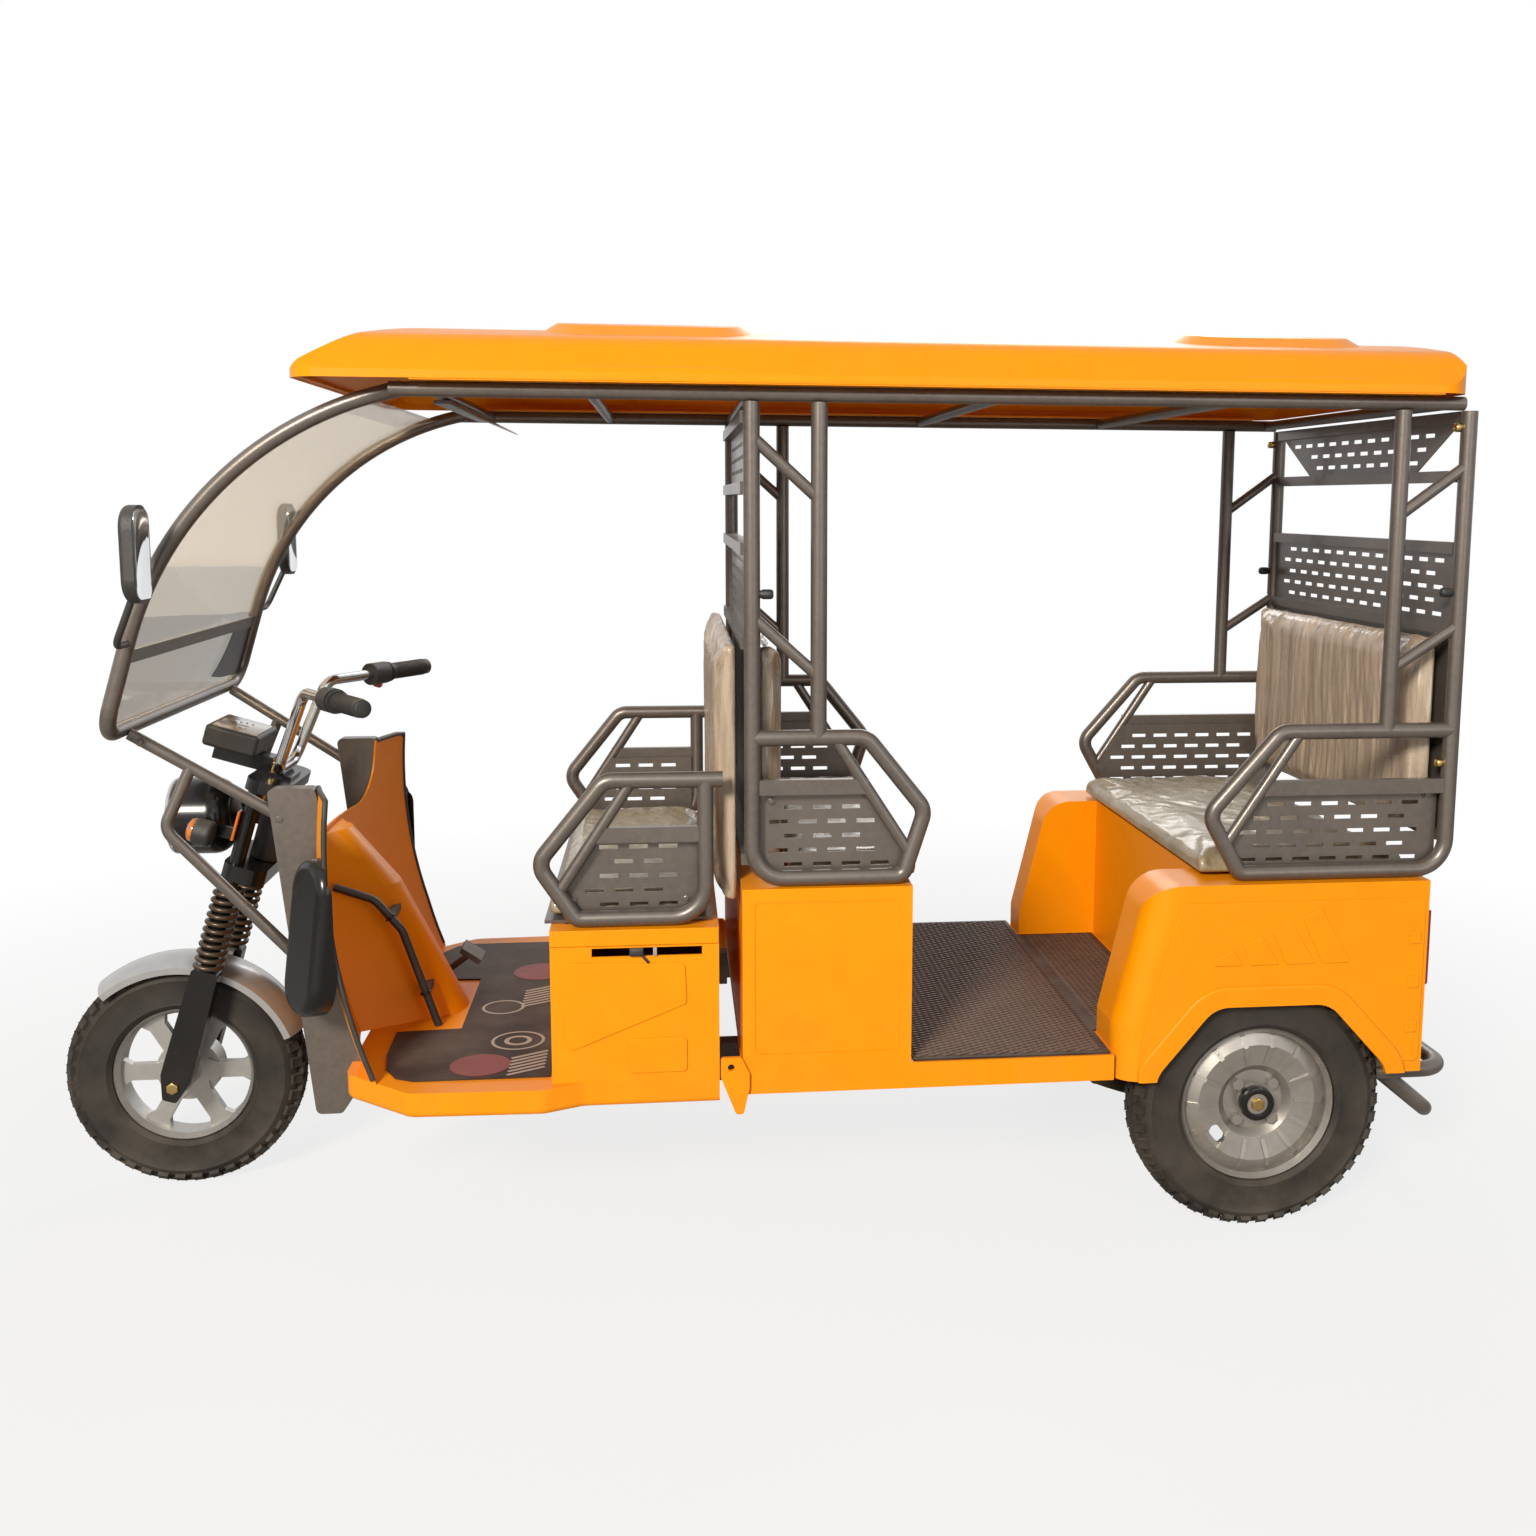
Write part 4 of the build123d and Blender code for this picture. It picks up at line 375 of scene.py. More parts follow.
def mottle_group():
    """Slow drift of tone with finer clouds inside it, 0 to 1."""
    group, start, end = node_group("tone_drift", [("Scale", 3.0), ("Fine Scale", 40.0)], ["Mask"])
    place = add(group, "TexCoord").outputs["Object"]
    slow = add(group, "TexNoise", [(place, "Vector"), (start.outputs["Scale"], "Scale")])
    put(slow, Detail=3.0)
    fine = add(group, "TexNoise", [(place, "Vector"), (start.outputs["Fine Scale"], "Scale")])
    put(fine, Detail=5.0)
    both = maths(group, "MULTIPLY", slow.outputs[0], fine.outputs[0])
    spread = mapped(group, both, start=0.12, end=0.42)
    group.links.new(spread, end.inputs["Mask"])
    return group


def dust_group():
    """Settled dust: more on faces that look up and near the road, broken up by noise."""
    group, start, end = node_group("settled_dust", [("Amount", 0.3), ("Road Splash", 0.3)], ["Mask"])
    normal = add(group, "NewGeometry").outputs["Normal"]
    place = add(group, "TexCoord").outputs["Object"]
    facing = add(group, "SeparateXYZ", [(normal, 0)])
    height = add(group, "SeparateXYZ", [(place, 0)])
    level = mapped(group, facing.outputs["Z"], start=0.35, end=1.0)
    low = mapped(group, height.outputs["Z"], start=0.55, end=0.05)
    clouds = add(group, "TexNoise", [(place, "Vector")])
    put(clouds, Scale=9.0, Detail=7.0)
    broken = mapped(group, clouds.outputs[0], start=0.38, end=0.72)
    settled = maths(group, "MULTIPLY", level, start.outputs["Amount"])
    splash = maths(group, "MULTIPLY", low, start.outputs["Road Splash"])
    both = maths(group, "ADD", settled, splash, use_clamp=True)
    mask = maths(group, "MULTIPLY", both, broken)
    group.links.new(mask, end.inputs["Mask"])
    return group


def grain_group():
    """Height of a fine skin: orange peel on paint, grain on rubber and moulded plastic."""
    group, start, end = node_group("skin_grain", [("Scale", 200.0), ("Pits", 0.3)], ["Height"])
    place = add(group, "TexCoord").outputs["Object"]
    waves = add(group, "TexNoise", [(place, "Vector"), (start.outputs["Scale"], "Scale")])
    put(waves, Detail=2.0)
    pits = add(group, "TexVoronoi", [(place, "Vector"), (start.outputs["Scale"], "Scale")])
    pressed = maths(group, "MULTIPLY", pits.outputs["Distance"], start.outputs["Pits"])
    total = maths(group, "SUBTRACT", waves.outputs[0], pressed)
    group.links.new(total, end.inputs["Height"])
    return group


def scratch_group():
    """Thin marks from hands, shoes and cloths: stretched noise cut to fine lines."""
    group, start, end = node_group("hand_scratches", [("Scale", 30.0), ("Amount", 0.5)], ["Mask"])
    place = add(group, "TexCoord").outputs["Object"]
    lean = add(group, "Mapping", [(place, "Vector")])
    put(lean, Rotation=(0.3, 0.5, 0.2), Scale=(1.0, 1.0, 9.0))
    lines = add(group, "TexNoise", [(lean.outputs[0], "Vector"), (start.outputs["Scale"], "Scale")])
    put(lines, Detail=8.0, Roughness=0.75)
    cut = mapped(group, lines.outputs[0], start=0.64, end=0.70)
    mask = maths(group, "MULTIPLY", cut, start.outputs["Amount"])
    group.links.new(mask, end.inputs["Mask"])
    return group


MOTTLE = mottle_group()
DUST = dust_group()
GRAIN = grain_group()
SCRATCH = scratch_group()
print("groups", [group.name for group in bpy.data.node_groups])

# %% [markdown]
# ## Finishes
# One function mixes the shared effects into a Principled shader: two tones that drift, dust on top,
# scratches that show lighter, a roughness that follows the dust, and a fine bump. A short table then
# gives each paint, metal and plastic its own numbers, chosen against the picture.

# %% Finish builder
DUST_COLOUR = (0.50, 0.42, 0.33, 1.0)


def use(tree, group, **values):
    node = tree.nodes.new("ShaderNodeGroup")
    node.node_tree = group
    put(node, **values)
    return node.outputs[0]


def mixed(tree, mask, first, second):
    node = add(tree, "Mix", [(mask, "Factor")], data_type="RGBA")
    for socket, colour in ((node.inputs[6], first), (node.inputs[7], second)):
        if hasattr(colour, "is_linked"):
            tree.links.new(colour, socket)
        else:
            socket.default_value = (*colour[:3], 1.0)
    return node.outputs[2]


def roughen(tree, shader, height, strength, distance):
    relief = add(tree, "Bump", [(height, "Height")])
    put(relief, Strength=strength, Distance=distance)
    tree.links.new(relief.outputs[0], shader.inputs["Normal"])


def finish_paint(name, tone, shade, rough, metallic=0.0, coat=0.0, dust=0.2, splash=0.2, scratches=0.15,
                 grain=220.0, pits=0.2, bump=0.12, drift=3.0, shine=0.5):
    paint, tree, shader = blank_paint(name)
    tones = mixed(tree, use(tree, MOTTLE, Scale=drift, Fine_Scale=drift * 14), tone, shade)
    marks = use(tree, SCRATCH, Amount=scratches)
    scuffed = mixed(tree, marks, tones, tuple(min(1.0, value * 1.5 + 0.03) for value in tone[:3]))
    veil = use(tree, DUST, Amount=dust, Road_Splash=splash)
    tree.links.new(mixed(tree, veil, scuffed, DUST_COLOUR), shader.inputs["Base Color"])
    dulled = mapped(tree, veil, low=rough, high=0.85)
    tree.links.new(dulled, shader.inputs["Roughness"])
    put(shader, Metallic=metallic, Specular_IOR_Level=shine, Coat_Weight=coat, Coat_Roughness=0.06)
    height = use(tree, GRAIN, Scale=grain, Pits=pits)
    roughen(tree, shader, height, bump, 0.001)
    return paint


# %% Paints, metals and plastics
YELLOW = finish_paint(
    "yellow_paint", (0.88, 0.296, 0.0006), (0.84, 0.270, 0.0006), 0.36, coat=0.04, dust=0.02, splash=0.05,
    scratches=0.04, grain=160.0, bump=0.04, drift=1.6, shine=0.2,
)
GREY = finish_paint(
    "grey_paint", (0.150, 0.128, 0.112), (0.115, 0.098, 0.088), 0.36, metallic=0.5, coat=0.15, dust=0.08,
    splash=0.05, grain=900.0, pits=0.8, bump=0.10, drift=6.0,
)
SILVER = finish_paint(
    "silver_paint", (0.46, 0.46, 0.46), (0.40, 0.40, 0.41), 0.30, metallic=0.7, coat=0.3, dust=0.05,
    splash=0.05,
)
CHASSIS = finish_paint(
    "chassis_paint", (0.020, 0.019, 0.018), (0.032, 0.029, 0.027), 0.55, dust=0.3, splash=0.5, pits=0.5,
    bump=0.3,
)
BLACK = finish_paint(
    "black_plastic", (0.016, 0.016, 0.017), (0.024, 0.023, 0.023), 0.48, dust=0.2, grain=700.0, pits=0.9,
    bump=0.35,
)
GLOSS_BLACK = finish_paint(
    "gloss_black", (0.006, 0.006, 0.006), (0.009, 0.008, 0.008), 0.22, coat=0.12, dust=0.02, splash=0.03,
    bump=0.05, shine=0.3,
)
CHROME = finish_paint(
    "chrome", (0.62, 0.62, 0.63), (0.52, 0.52, 0.54), 0.13, metallic=1.0, dust=0.1, scratches=0.3, bump=0.03,
)
CAST = finish_paint(
    "cast_wheel", (0.46, 0.45, 0.43), (0.38, 0.37, 0.36), 0.38, metallic=0.75, dust=0.1, splash=0.12,
    grain=500.0, pits=0.6, bump=0.2,
)
DISC = finish_paint(
    "steel_wheel", (0.36, 0.34, 0.31), (0.30, 0.28, 0.26), 0.34, metallic=0.65, coat=0.2, dust=0.1,
    splash=0.12,
)
SPRING = finish_paint(
    "spring_steel", (0.10, 0.062, 0.034), (0.055, 0.040, 0.030), 0.36, metallic=0.7, dust=0.2, scratches=0.3,
)
AXLE = finish_paint(
    "axle_paint", (0.030, 0.028, 0.027), (0.05, 0.044, 0.038), 0.6, dust=0.3, splash=0.6, bump=0.4,
)
MOTOR = finish_paint(
    "motor_alloy", (0.36, 0.35, 0.34), (0.26, 0.25, 0.24), 0.5, metallic=0.8, dust=0.3, splash=0.5, bump=0.35,
)
BATTERY = finish_paint("battery_case", (0.03, 0.03, 0.035), (0.045, 0.045, 0.05), 0.5, bump=0.3)
RUBBER = finish_paint(
    "tyre_rubber", (0.019, 0.016, 0.014), (0.028, 0.024, 0.021), 0.66, dust=0.14, splash=0.12, scratches=0.1,
    grain=420.0, pits=0.6, bump=0.4, shine=0.3,
)
MAT_RUBBER = finish_paint(
    "floor_mat", (0.028, 0.014, 0.009), (0.036, 0.019, 0.012), 0.60, dust=0.05, grain=320.0, pits=0.7,
    bump=0.4, shine=0.25,
)
FABRIC = finish_paint(
    "seat_cover", (0.27, 0.235, 0.205), (0.21, 0.18, 0.155), 0.5, coat=0.5, dust=0.05, grain=60.0, bump=0.3,
)
print("finishes", len(bpy.data.materials))

# %% [markdown]
# ## Clear sheet and lenses
# The screen is a thin clear plastic with a beige cast, a few wipe marks and almost no bend of light. Half of
# the light passes straight and the rest through a tinted, barely refracting body, so the sheet shows its
# colour against a white ground. The lenses of lamps are tinted the same way, with ribs moulded in the back.

# %% Clear sheet and lens finishes
def clear_sheet():
    sheet, tree, shader = blank_paint("clear_sheet")
    haze = use(tree, SCRATCH, Scale=14.0, Amount=0.5)
    veil = use(tree, DUST, Amount=0.5, Road_Splash=0.0)
    both = maths(tree, "MAXIMUM", haze, veil)
    tint = mixed(tree, both, (0.78, 0.52, 0.25), (0.84, 0.64, 0.40))
    tree.links.new(tint, shader.inputs["Base Color"])
    dense = mapped(tree, both, low=0.52, high=0.60)
    tree.links.new(dense, shader.inputs["Alpha"])
    rough = mapped(tree, both, low=0.03, high=0.12)
    tree.links.new(rough, shader.inputs["Roughness"])
    put(shader, Transmission_Weight=1.0, IOR=1.03, Coat_Weight=0.4)
    return sheet


def lens(name, tone, shade, ribs):
    glass, tree, shader = blank_paint(name)
    place = add(tree, "TexCoord").outputs["Object"]
    waves = add(tree, "TexWave", [(place, "Vector")], bands_direction="Y")
    put(waves, Scale=ribs)
    tree.links.new(mixed(tree, waves.outputs[1], tone, shade), shader.inputs["Base Color"])
    veil = use(tree, DUST, Amount=0.2, Road_Splash=0.2)
    dulled = mapped(tree, veil, low=0.12, high=0.6)
    tree.links.new(dulled, shader.inputs["Roughness"])
    put(shader, Transmission_Weight=0.25, Coat_Weight=0.8)
    roughen(tree, shader, waves.outputs[1], 0.25, 0.002)
    return glass


CLEAR = clear_sheet()
RED_LENS = lens("red_lens", (0.52, 0.012, 0.010), (0.36, 0.006, 0.006), 60.0)
AMBER_LENS = lens("amber_lens", (0.80, 0.22, 0.01), (0.62, 0.14, 0.005), 80.0)
WHITE_LENS = lens("white_lens", (0.78, 0.78, 0.78), (0.62, 0.62, 0.64), 70.0)
print("lenses ready")

# %% [markdown]
# ## Dress the solids
# Solids whose shape is already right stay as they are. Each only gets its finish, chosen by node name,
# so nothing shows a bare default surface.

# %% Finishes by node
NODE_FINISH = {
    YELLOW: (
        "front_floor_pan passenger_floor leg_shield steering_tunnel roof_panel driver_seat_box "
        "middle_seat_box rear_wheel_boxes rear_bench_base tail_panel"
    ),
    GREY: (
        "front_guard windscreen_frame roof_frame middle_side_frames rear_side_frames driver_armrests "
        "armrest_sheets partition_boards rear_boards visor_board rear_bumper driver_seat_lid"
    ),
    CHASSIS: "chassis_frame brake_pedal",
    GLOSS_BLACK: "lamp_pods headlamp front_fork",
    BLACK: "mirrors hand_grips instrument_box turn_signals tunnel_pipe",
    CHROME: "handlebar",
    CLEAR: "windscreen_sheets",
    RED_LENS: "tail_lamps",
    SILVER: "front_mudguard",
    CAST: "front_rim",
    DISC: "rear_rim_left rear_rim_right",
    SPRING: "fork_springs leaf_springs",
    RUBBER: "front_tyre rear_tyre_left rear_tyre_right",
    MAT_RUBBER: "floor_mats",
    AXLE: "rear_axle",
    MOTOR: "drive_motor",
    BATTERY: "battery_pack",
    FABRIC: "driver_cushion driver_backrest middle_backrest middle_cushion rear_cushion rear_backrest",
}
for paint, names in NODE_FINISH.items():
    for name in names.split():
        if name in nodes:
            for slot in bpy.data.objects[name].material_slots:
                slot.material = paint
undressed = set(nodes) - set(" ".join(NODE_FINISH.values()).split())
print("undressed nodes", sorted(undressed))

# %% [markdown]
# ## Padded seats
# The seats are six foam pads in taupe cloth, still under the clear film they were delivered in. Foam swells
# until its cover pulls tight, so each pad starts a little small, is remeshed to an even skin and is blown up
# by a cloth simulation that holds the face it rests on. Film hangs in long upright folds on a backrest and
# in slack creases on a cushion. The folds are pressed in last, because a remesh would wipe them out.

# %% Seat pads
PAD_SLACK = 0.007
PAD_CELL = 0.010
PAD_SWELL = 0.011


def pad_blank(node):
    low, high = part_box(node)
    slack = Vector((PAD_SLACK, PAD_SLACK, PAD_SLACK))
    blank = cube(node + "_pad", (low + high) / 2, high - low - 2 * slack)
    round_edges(blank, 0.013, 4)
    return modify(blank, "REMESH", mode="VOXEL", voxel_size=PAD_CELL)


def swell(pad, rest):
    """Cloth pressure blows the pad up; points on the resting face are held and no point goes too far."""
    start = [vertex.co.copy() for vertex in pad.data.vertices]
    seat = max(place.dot(rest) for place in start)
    held = pad.vertex_groups.new(name="held")
    held.add([i for i, place in enumerate(start) if place.dot(rest) > seat - 0.005], 1.0, "REPLACE")
    activate(pad)
    cloth = pad.modifiers.new("cloth", "CLOTH")
    cloth.settings.quality = 4
    cloth.settings.mass = 0.3
    cloth.settings.bending_stiffness = 0.6
    cloth.settings.use_pressure = True
    cloth.settings.uniform_pressure_force = 4.0
    cloth.settings.effector_weights.gravity = 0.0
    cloth.settings.vertex_group_mass = "held"
    cloth.point_cache.frame_start = 1
    cloth.point_cache.frame_end = 20
    for step in range(1, 21):
        scene.frame_set(step)
    bpy.ops.object.modifier_apply(modifier=cloth.name)
    capped = []
    for vertex, place in zip(pad.data.vertices, start):
        move = vertex.co - place
        capped.extend(place + move * min(1.0, PAD_SWELL / max(move.length, 1e-9)))
    pad.data.vertices.foreach_set("co", capped)
    pad.vertex_groups.clear()
    scene.frame_set(1)


def upright_folds(place):
    sway = 0.35 * noise.noise(Vector((place.y * 5, place.z * 4, 3.1)))
    broad = noise.noise(Vector((place.y * 26 + sway * 4, place.z * 2.4, 7.7)))
    narrow = noise.noise(Vector((place.y * 58 + sway * 9, place.z * 4.5, 1.3)))
    return 0.0042 * broad + 0.0024 * (1 - 2 * abs(narrow))


def slack_creases(place):
    along = place.x * 1.0 + place.y * 0.45
    across = place.y * 1.0 - place.x * 0.45
    broad = noise.noise(Vector((along * 16, across * 9, 2.2)))
    narrow = noise.noise(Vector((along * 34, across * 20, 5.5)))
    return 0.0026 * broad + 0.0026 * (0.5 - abs(narrow))


def press_folds(pad, rest, pattern):
    pad.data.update()
    outward = [vertex.normal.copy() for vertex in pad.data.vertices]
    folded = []
    for vertex, normal in zip(pad.data.vertices, outward):
        facing = min(1.0, max(0.0, 0.5 - normal.dot(rest)))
        folded.extend(vertex.co + normal * pattern(vertex.co) * facing)
    pad.data.vertices.foreach_set("co", folded)
    pad.data.update()


# Columns: node, side the pad rests on, kind of folds, body
PADS = (
    ("driver_cushion", (0, 0, -1), slack_creases, "driver_seat"),
    ("driver_backrest", (-1, 0, 0), upright_folds, "chassis"),
    ("middle_backrest", (1, 0, 0), upright_folds, "chassis"),
    ("middle_cushion", (0, 0, -1), slack_creases, "chassis"),
    ("rear_cushion", (0, 0, -1), slack_creases, "chassis"),
    ("rear_backrest", (-1, 0, 0), upright_folds, "chassis"),
)


def film_wrap(name, light, dark, stretch, lean):
    """Woven cloth seen through clear film: painted highlights and painted shade as light and dark streaks
    along the folds, painted glints, fine weave and a broken gloss.
    """
    wrap, tree, shader = blank_paint(name)
    place = add(tree, "TexCoord").outputs["Object"]
    drawn = add(tree, "Mapping", [(place, "Vector")])
    put(drawn, Scale=stretch, Rotation=lean)
    highlight_and_crease_noise = add(tree, "TexNoise", [(drawn.outputs[0], "Vector")])
    put(highlight_and_crease_noise, Scale=1.0, Detail=6.0, Roughness=0.62)
    # Painted highlights and painted shade: the noise is cut into light and dark streaks along the folds,
    # standing in for how light falls on the film.
    spread = mapped(tree, highlight_and_crease_noise.outputs[0], start=0.36, end=0.64)
    cloth = mixed(tree, spread, dark, light)
    # Painted glints: the brightest streaks are lifted to a pale colour, standing in for light caught in the
    # film.
    painted_glint = mapped(tree, highlight_and_crease_noise.outputs[0], start=0.63, end=0.72)
    tree.links.new(mixed(tree, painted_glint, cloth, (0.78, 0.74, 0.68)), shader.inputs["Base Color"])
    gloss = mapped(tree, spread, low=0.5, high=0.2)
    tree.links.new(gloss, shader.inputs["Roughness"])
    put(shader, Coat_Weight=0.45, Coat_Roughness=0.12)
    weave = use(tree, GRAIN, Scale=420.0, Pits=0.8)
    creased = add(tree, "Math", [(highlight_and_crease_noise.outputs[0], 0), (weave, 2)], operation="MULTIPLY_ADD", in_1=14.0)
    roughen(tree, shader, creased.outputs[0], 0.5, 0.0011)
    return wrap


# The two colours of each wrap are the painted highlight and the painted shade of its fold streaks.
BACK_WRAP = film_wrap("wrapped_back", (0.50, 0.40, 0.30), (0.29, 0.225, 0.165), (30.0, 34.0, 3.2), (0, 0, 0))
SEAT_WRAP = film_wrap("wrapped_seat", (0.36, 0.30, 0.19), (0.23, 0.185, 0.11), (16.0, 8.0, 12.0), (0, 0, 0.6))
for node, rest, pattern, body in PADS:
    pad = pad_blank(node)
    swell(pad, Vector(rest))
    modify(pad, "SUBSURF", levels=1, render_levels=1)
    press_folds(pad, Vector(rest), pattern)
    finish(pad, SEAT_WRAP if pattern is slack_creases else BACK_WRAP, body, angle=80)
    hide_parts(node)
    print(node, "faces", len(pad.data.polygons))

# %% [markdown]
# ## Tyres
# A tyre is a turned body with moulded blocks. The wall is traced once as a section, from bead to shoulder
# and back, and spun about the axle. One tread block of each row is modelled on the shoulder or the crown
# and then spun round in copies, which keeps every block the same, as the mould does.

# %% Tyres
BEAD_GRIP = 0.0015


def tyre(name, centre, radius, half, rim, pitches, body):
    """Carcass and tread of one tyre whose axle runs across the vehicle."""
    deep = 0.0085
    wall = (radius - rim) / 2 + rim
    section = [
        (rim + 0.001, half - 0.022), (rim + 0.002, half - 0.010), (rim + 0.008, half - 0.005),
        (rim + 0.011, half - 0.0025), (rim + 0.014, half - 0.004), (wall, half - 0.001),
        (radius - 0.034, half - 0.001), (radius - 0.0315, half + 0.0002), (radius - 0.028, half - 0.002),
        (radius - 0.016, half - 0.011), (radius - deep, half - 0.028),
    ]
    loop = section + [(r, -y) for r, y in reversed(section)]
    points = [(centre[0], centre[1] + y, centre[2] + r) for r, y in loop + loop[:1]]
    carcass = spun(name + "_carcass", points, centre, (0, 1, 0), steps=72)
    rows = [carcass]
    arc = 2 * math.pi * radius / pitches
    # Columns: across the tread, below the crown, length share, width, lean, start of the row in pitches
    for across, below, share, width, lean, start in (
        (0.013, 0.0045, 0.60, 0.021, 4, 0.0), (-0.013, 0.0045, 0.60, 0.021, -4, 0.5),
        (half - 0.0145, 0.0105, 0.58, 0.026, 38, 0.5), (0.0145 - half, 0.0105, 0.58, 0.026, -38, 0.0),
    ):
        place = (centre[0], centre[1] + across, centre[2] + radius - below)
        block = cube(name + "_block", place, (arc * share, width, 0.009), (math.radians(-lean), 0, 0))
        edit(block)
        pick(block, lambda face: face.normal.z > 0.6)
        bpy.ops.transform.resize(value=(0.86, 0.90, 1.0), center_override=place)
        bpy.ops.mesh.inset(thickness=0.002, depth=-0.0012)
        bpy.ops.mesh.select_all(action="SELECT")
        turn_start = start * 2 * math.pi / pitches
        bpy.ops.mesh.spin(steps=1, angle=turn_start + 0.0001, dupli=True, center=centre, axis=(0, 1, 0))
        bpy.ops.mesh.select_all(action="INVERT")
        bpy.ops.mesh.delete(type="VERT")
        bpy.ops.mesh.select_all(action="SELECT")
        rest_of_turn = 2 * math.pi * (pitches - 1) / pitches
        bpy.ops.mesh.spin(steps=pitches - 1, angle=rest_of_turn, dupli=True, center=centre, axis=(0, 1, 0))
        done()
        rows.append(block)
    piece = join(rows, name)
    return finish(piece, RUBBER, body, angle=40)


# Columns: node, its rim, tread pitches, body; the sizes come from the boxes of tyre and rim
for node, rim_node, pitches, body in (
    ("front_tyre", "front_rim", 40, "front_wheel"),
    ("rear_tyre_left", "rear_rim_left", 42, "rear_wheel_left"),
    ("rear_tyre_right", "rear_rim_right", 42, "rear_wheel_right"),
):
    low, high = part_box(node)
    rim_low, rim_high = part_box(rim_node)
    rim = (rim_high.z - rim_low.z) / 2 - BEAD_GRIP
    radius, half = (high.z - low.z) / 2, (high.y - low.y) / 2
    round_tyre = tyre(node + "_tread", tuple((low + high) / 2), radius, half, rim, pitches, body)
    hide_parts(node)
    print(node, "faces", len(round_tyre.data.polygons))

# %% [markdown]
# ## Coil springs of the fork
# Each spring is a round bar wound about the fork tube. A circle is set beside the axis and the Screw
# modifier winds it, the same motion as a winding lathe, and the ends are closed.

# %% Fork springs
FORK_FOOT = Vector((1.13653, 0.0, 0.22477))
FORK_AHEAD = Vector((0.9563, 0.0, 0.2924))
FORK_UP = Vector((-0.2924, 0.0, 0.9563))
FORK_TURN = (0.0, -math.atan2(0.2924, 0.9563), 0.0)


def on_fork(ahead, left, along):
    """A place given ahead of, left of and up along the raked steering axis."""
    return FORK_FOOT + FORK_AHEAD * ahead + Vector((0, left, 0)) + FORK_UP * along


def coil(name, foot, radius, wire, pitch, turns):
    clear_selection()
    upright = (math.pi / 2, 0, 0)
    bpy.ops.mesh.primitive_circle_add(vertices=10, radius=wire, location=(radius, 0, 0), rotation=upright)
    piece = apply_place(named(name))
    modify(
        piece, "SCREW", axis="Z", angle=2 * math.pi, screw_offset=pitch, iterations=turns,
        steps=22, render_steps=22,
    )
    edit(piece)
    bpy.ops.mesh.select_all(action="SELECT")
    bpy.ops.mesh.fill_holes(sides=0)
    bpy.ops.mesh.select_all(action="SELECT")
    bpy.ops.mesh.normals_make_consistent(inside=False)
    done()
    piece.location = foot
    piece.rotation_euler = FORK_TURN
    return apply_place(piece)


COIL_Z = (0.2503, 0.4320)
COIL_WIRE = 0.0050
COIL_TURNS = 11
LEG_AHEAD, LEG_HALF = 0.035, 0.090
coil_pitch = (COIL_Z[1] - COIL_Z[0] - 2 * COIL_WIRE) / COIL_TURNS
coil_foot = on_fork(LEG_AHEAD, LEG_HALF, COIL_Z[0] + COIL_WIRE)
left_coil = coil("fork_coil", coil_foot, 0.0250, COIL_WIRE, coil_pitch, COIL_TURNS)
right_coil = copy_piece(left_coil, "fork_coil_right", (0, -2 * LEG_HALF, 0))
coils = finish(join([left_coil, right_coil], "fork_coils"), SPRING, "steering", angle=60)
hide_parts("fork_springs")
print("coil faces", len(coils.data.polygons))

# %% [markdown]
# ## Floor mats
# The passengers' mat is brown rubber with rows of worn diamonds, and the driver's mat is a dark printed one.
# A single diamond is a four-sided cone with its tip cut off, squeezed narrow; two Array modifiers lay it out
# and a shifted copy fills the gaps between rows. The print is a plain design of discs, rings and stripes.

# %% Diamonds of the passengers' mat
MAT_WORN = finish_paint(
    "mat_diamonds", (0.090, 0.048, 0.030), (0.062, 0.033, 0.021), 0.55, dust=0.06, splash=0.0, grain=500.0,
    bump=0.3, shine=0.25,
)
MAT_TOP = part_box("floor_mats")[1].z
DIAMOND_STEP = (0.026, 0.0135)


def diamonds(name, x_range, half):
    along = int((x_range[1] - x_range[0]) / DIAMOND_STEP[0])
    across = int(2 * half / DIAMOND_STEP[1])
    piece = drum(name, (0, 0, 0), 0.0125, 0.0026, sides=4, tip=0.0085)
    piece.scale = (1.0, 0.40, 1.0)
    piece.location = (x_range[0] + DIAMOND_STEP[0] / 2, DIAMOND_STEP[1] / 2 - half, MAT_TOP + 0.0010)
    apply_place(piece)
    for count, step in ((along, (DIAMOND_STEP[0], 0, 0)), (across, (0, DIAMOND_STEP[1], 0))):
        modify(
            piece, "ARRAY", count=count, use_relative_offset=False, use_constant_offset=True,
            constant_offset_displace=step,
        )
    return piece


fields = []
for x_range, half in (((-0.660, -0.294), 0.455), ((-0.848, -0.672), 0.330)):
    field = diamonds("mat_field", x_range, half)
    between = copy_piece(field, "mat_field_between", (DIAMOND_STEP[0] / 2, DIAMOND_STEP[1] / 2, 0))
    fields += [field, between]
mat_diamonds = finish(join(fields, "mat_diamonds"), MAT_WORN, angle=20)
print("diamond faces", len(mat_diamonds.data.polygons))

# %% Print of the driver's mat
MAT_RED = finish_paint(
    "mat_red", (0.20, 0.030, 0.028), (0.15, 0.024, 0.022), 0.55, dust=0.1, splash=0.0, grain=400.0,
)
MAT_PALE = finish_paint(
    "mat_pale", (0.40, 0.34, 0.29), (0.32, 0.27, 0.23), 0.55, dust=0.1, splash=0.0, grain=400.0,
)
FRONT_MAT_TOP = 0.359
INK = 0.0007


def printed_disc(name, centre, radius, hole):
    """A disc of ink: a low drum whose top is inset and sunk."""
    disc = drum(name, (*centre, FRONT_MAT_TOP + INK / 2), radius, INK, sides=48)
    return press(disc, (0, 0, 1), hole, -INK * 0.4)


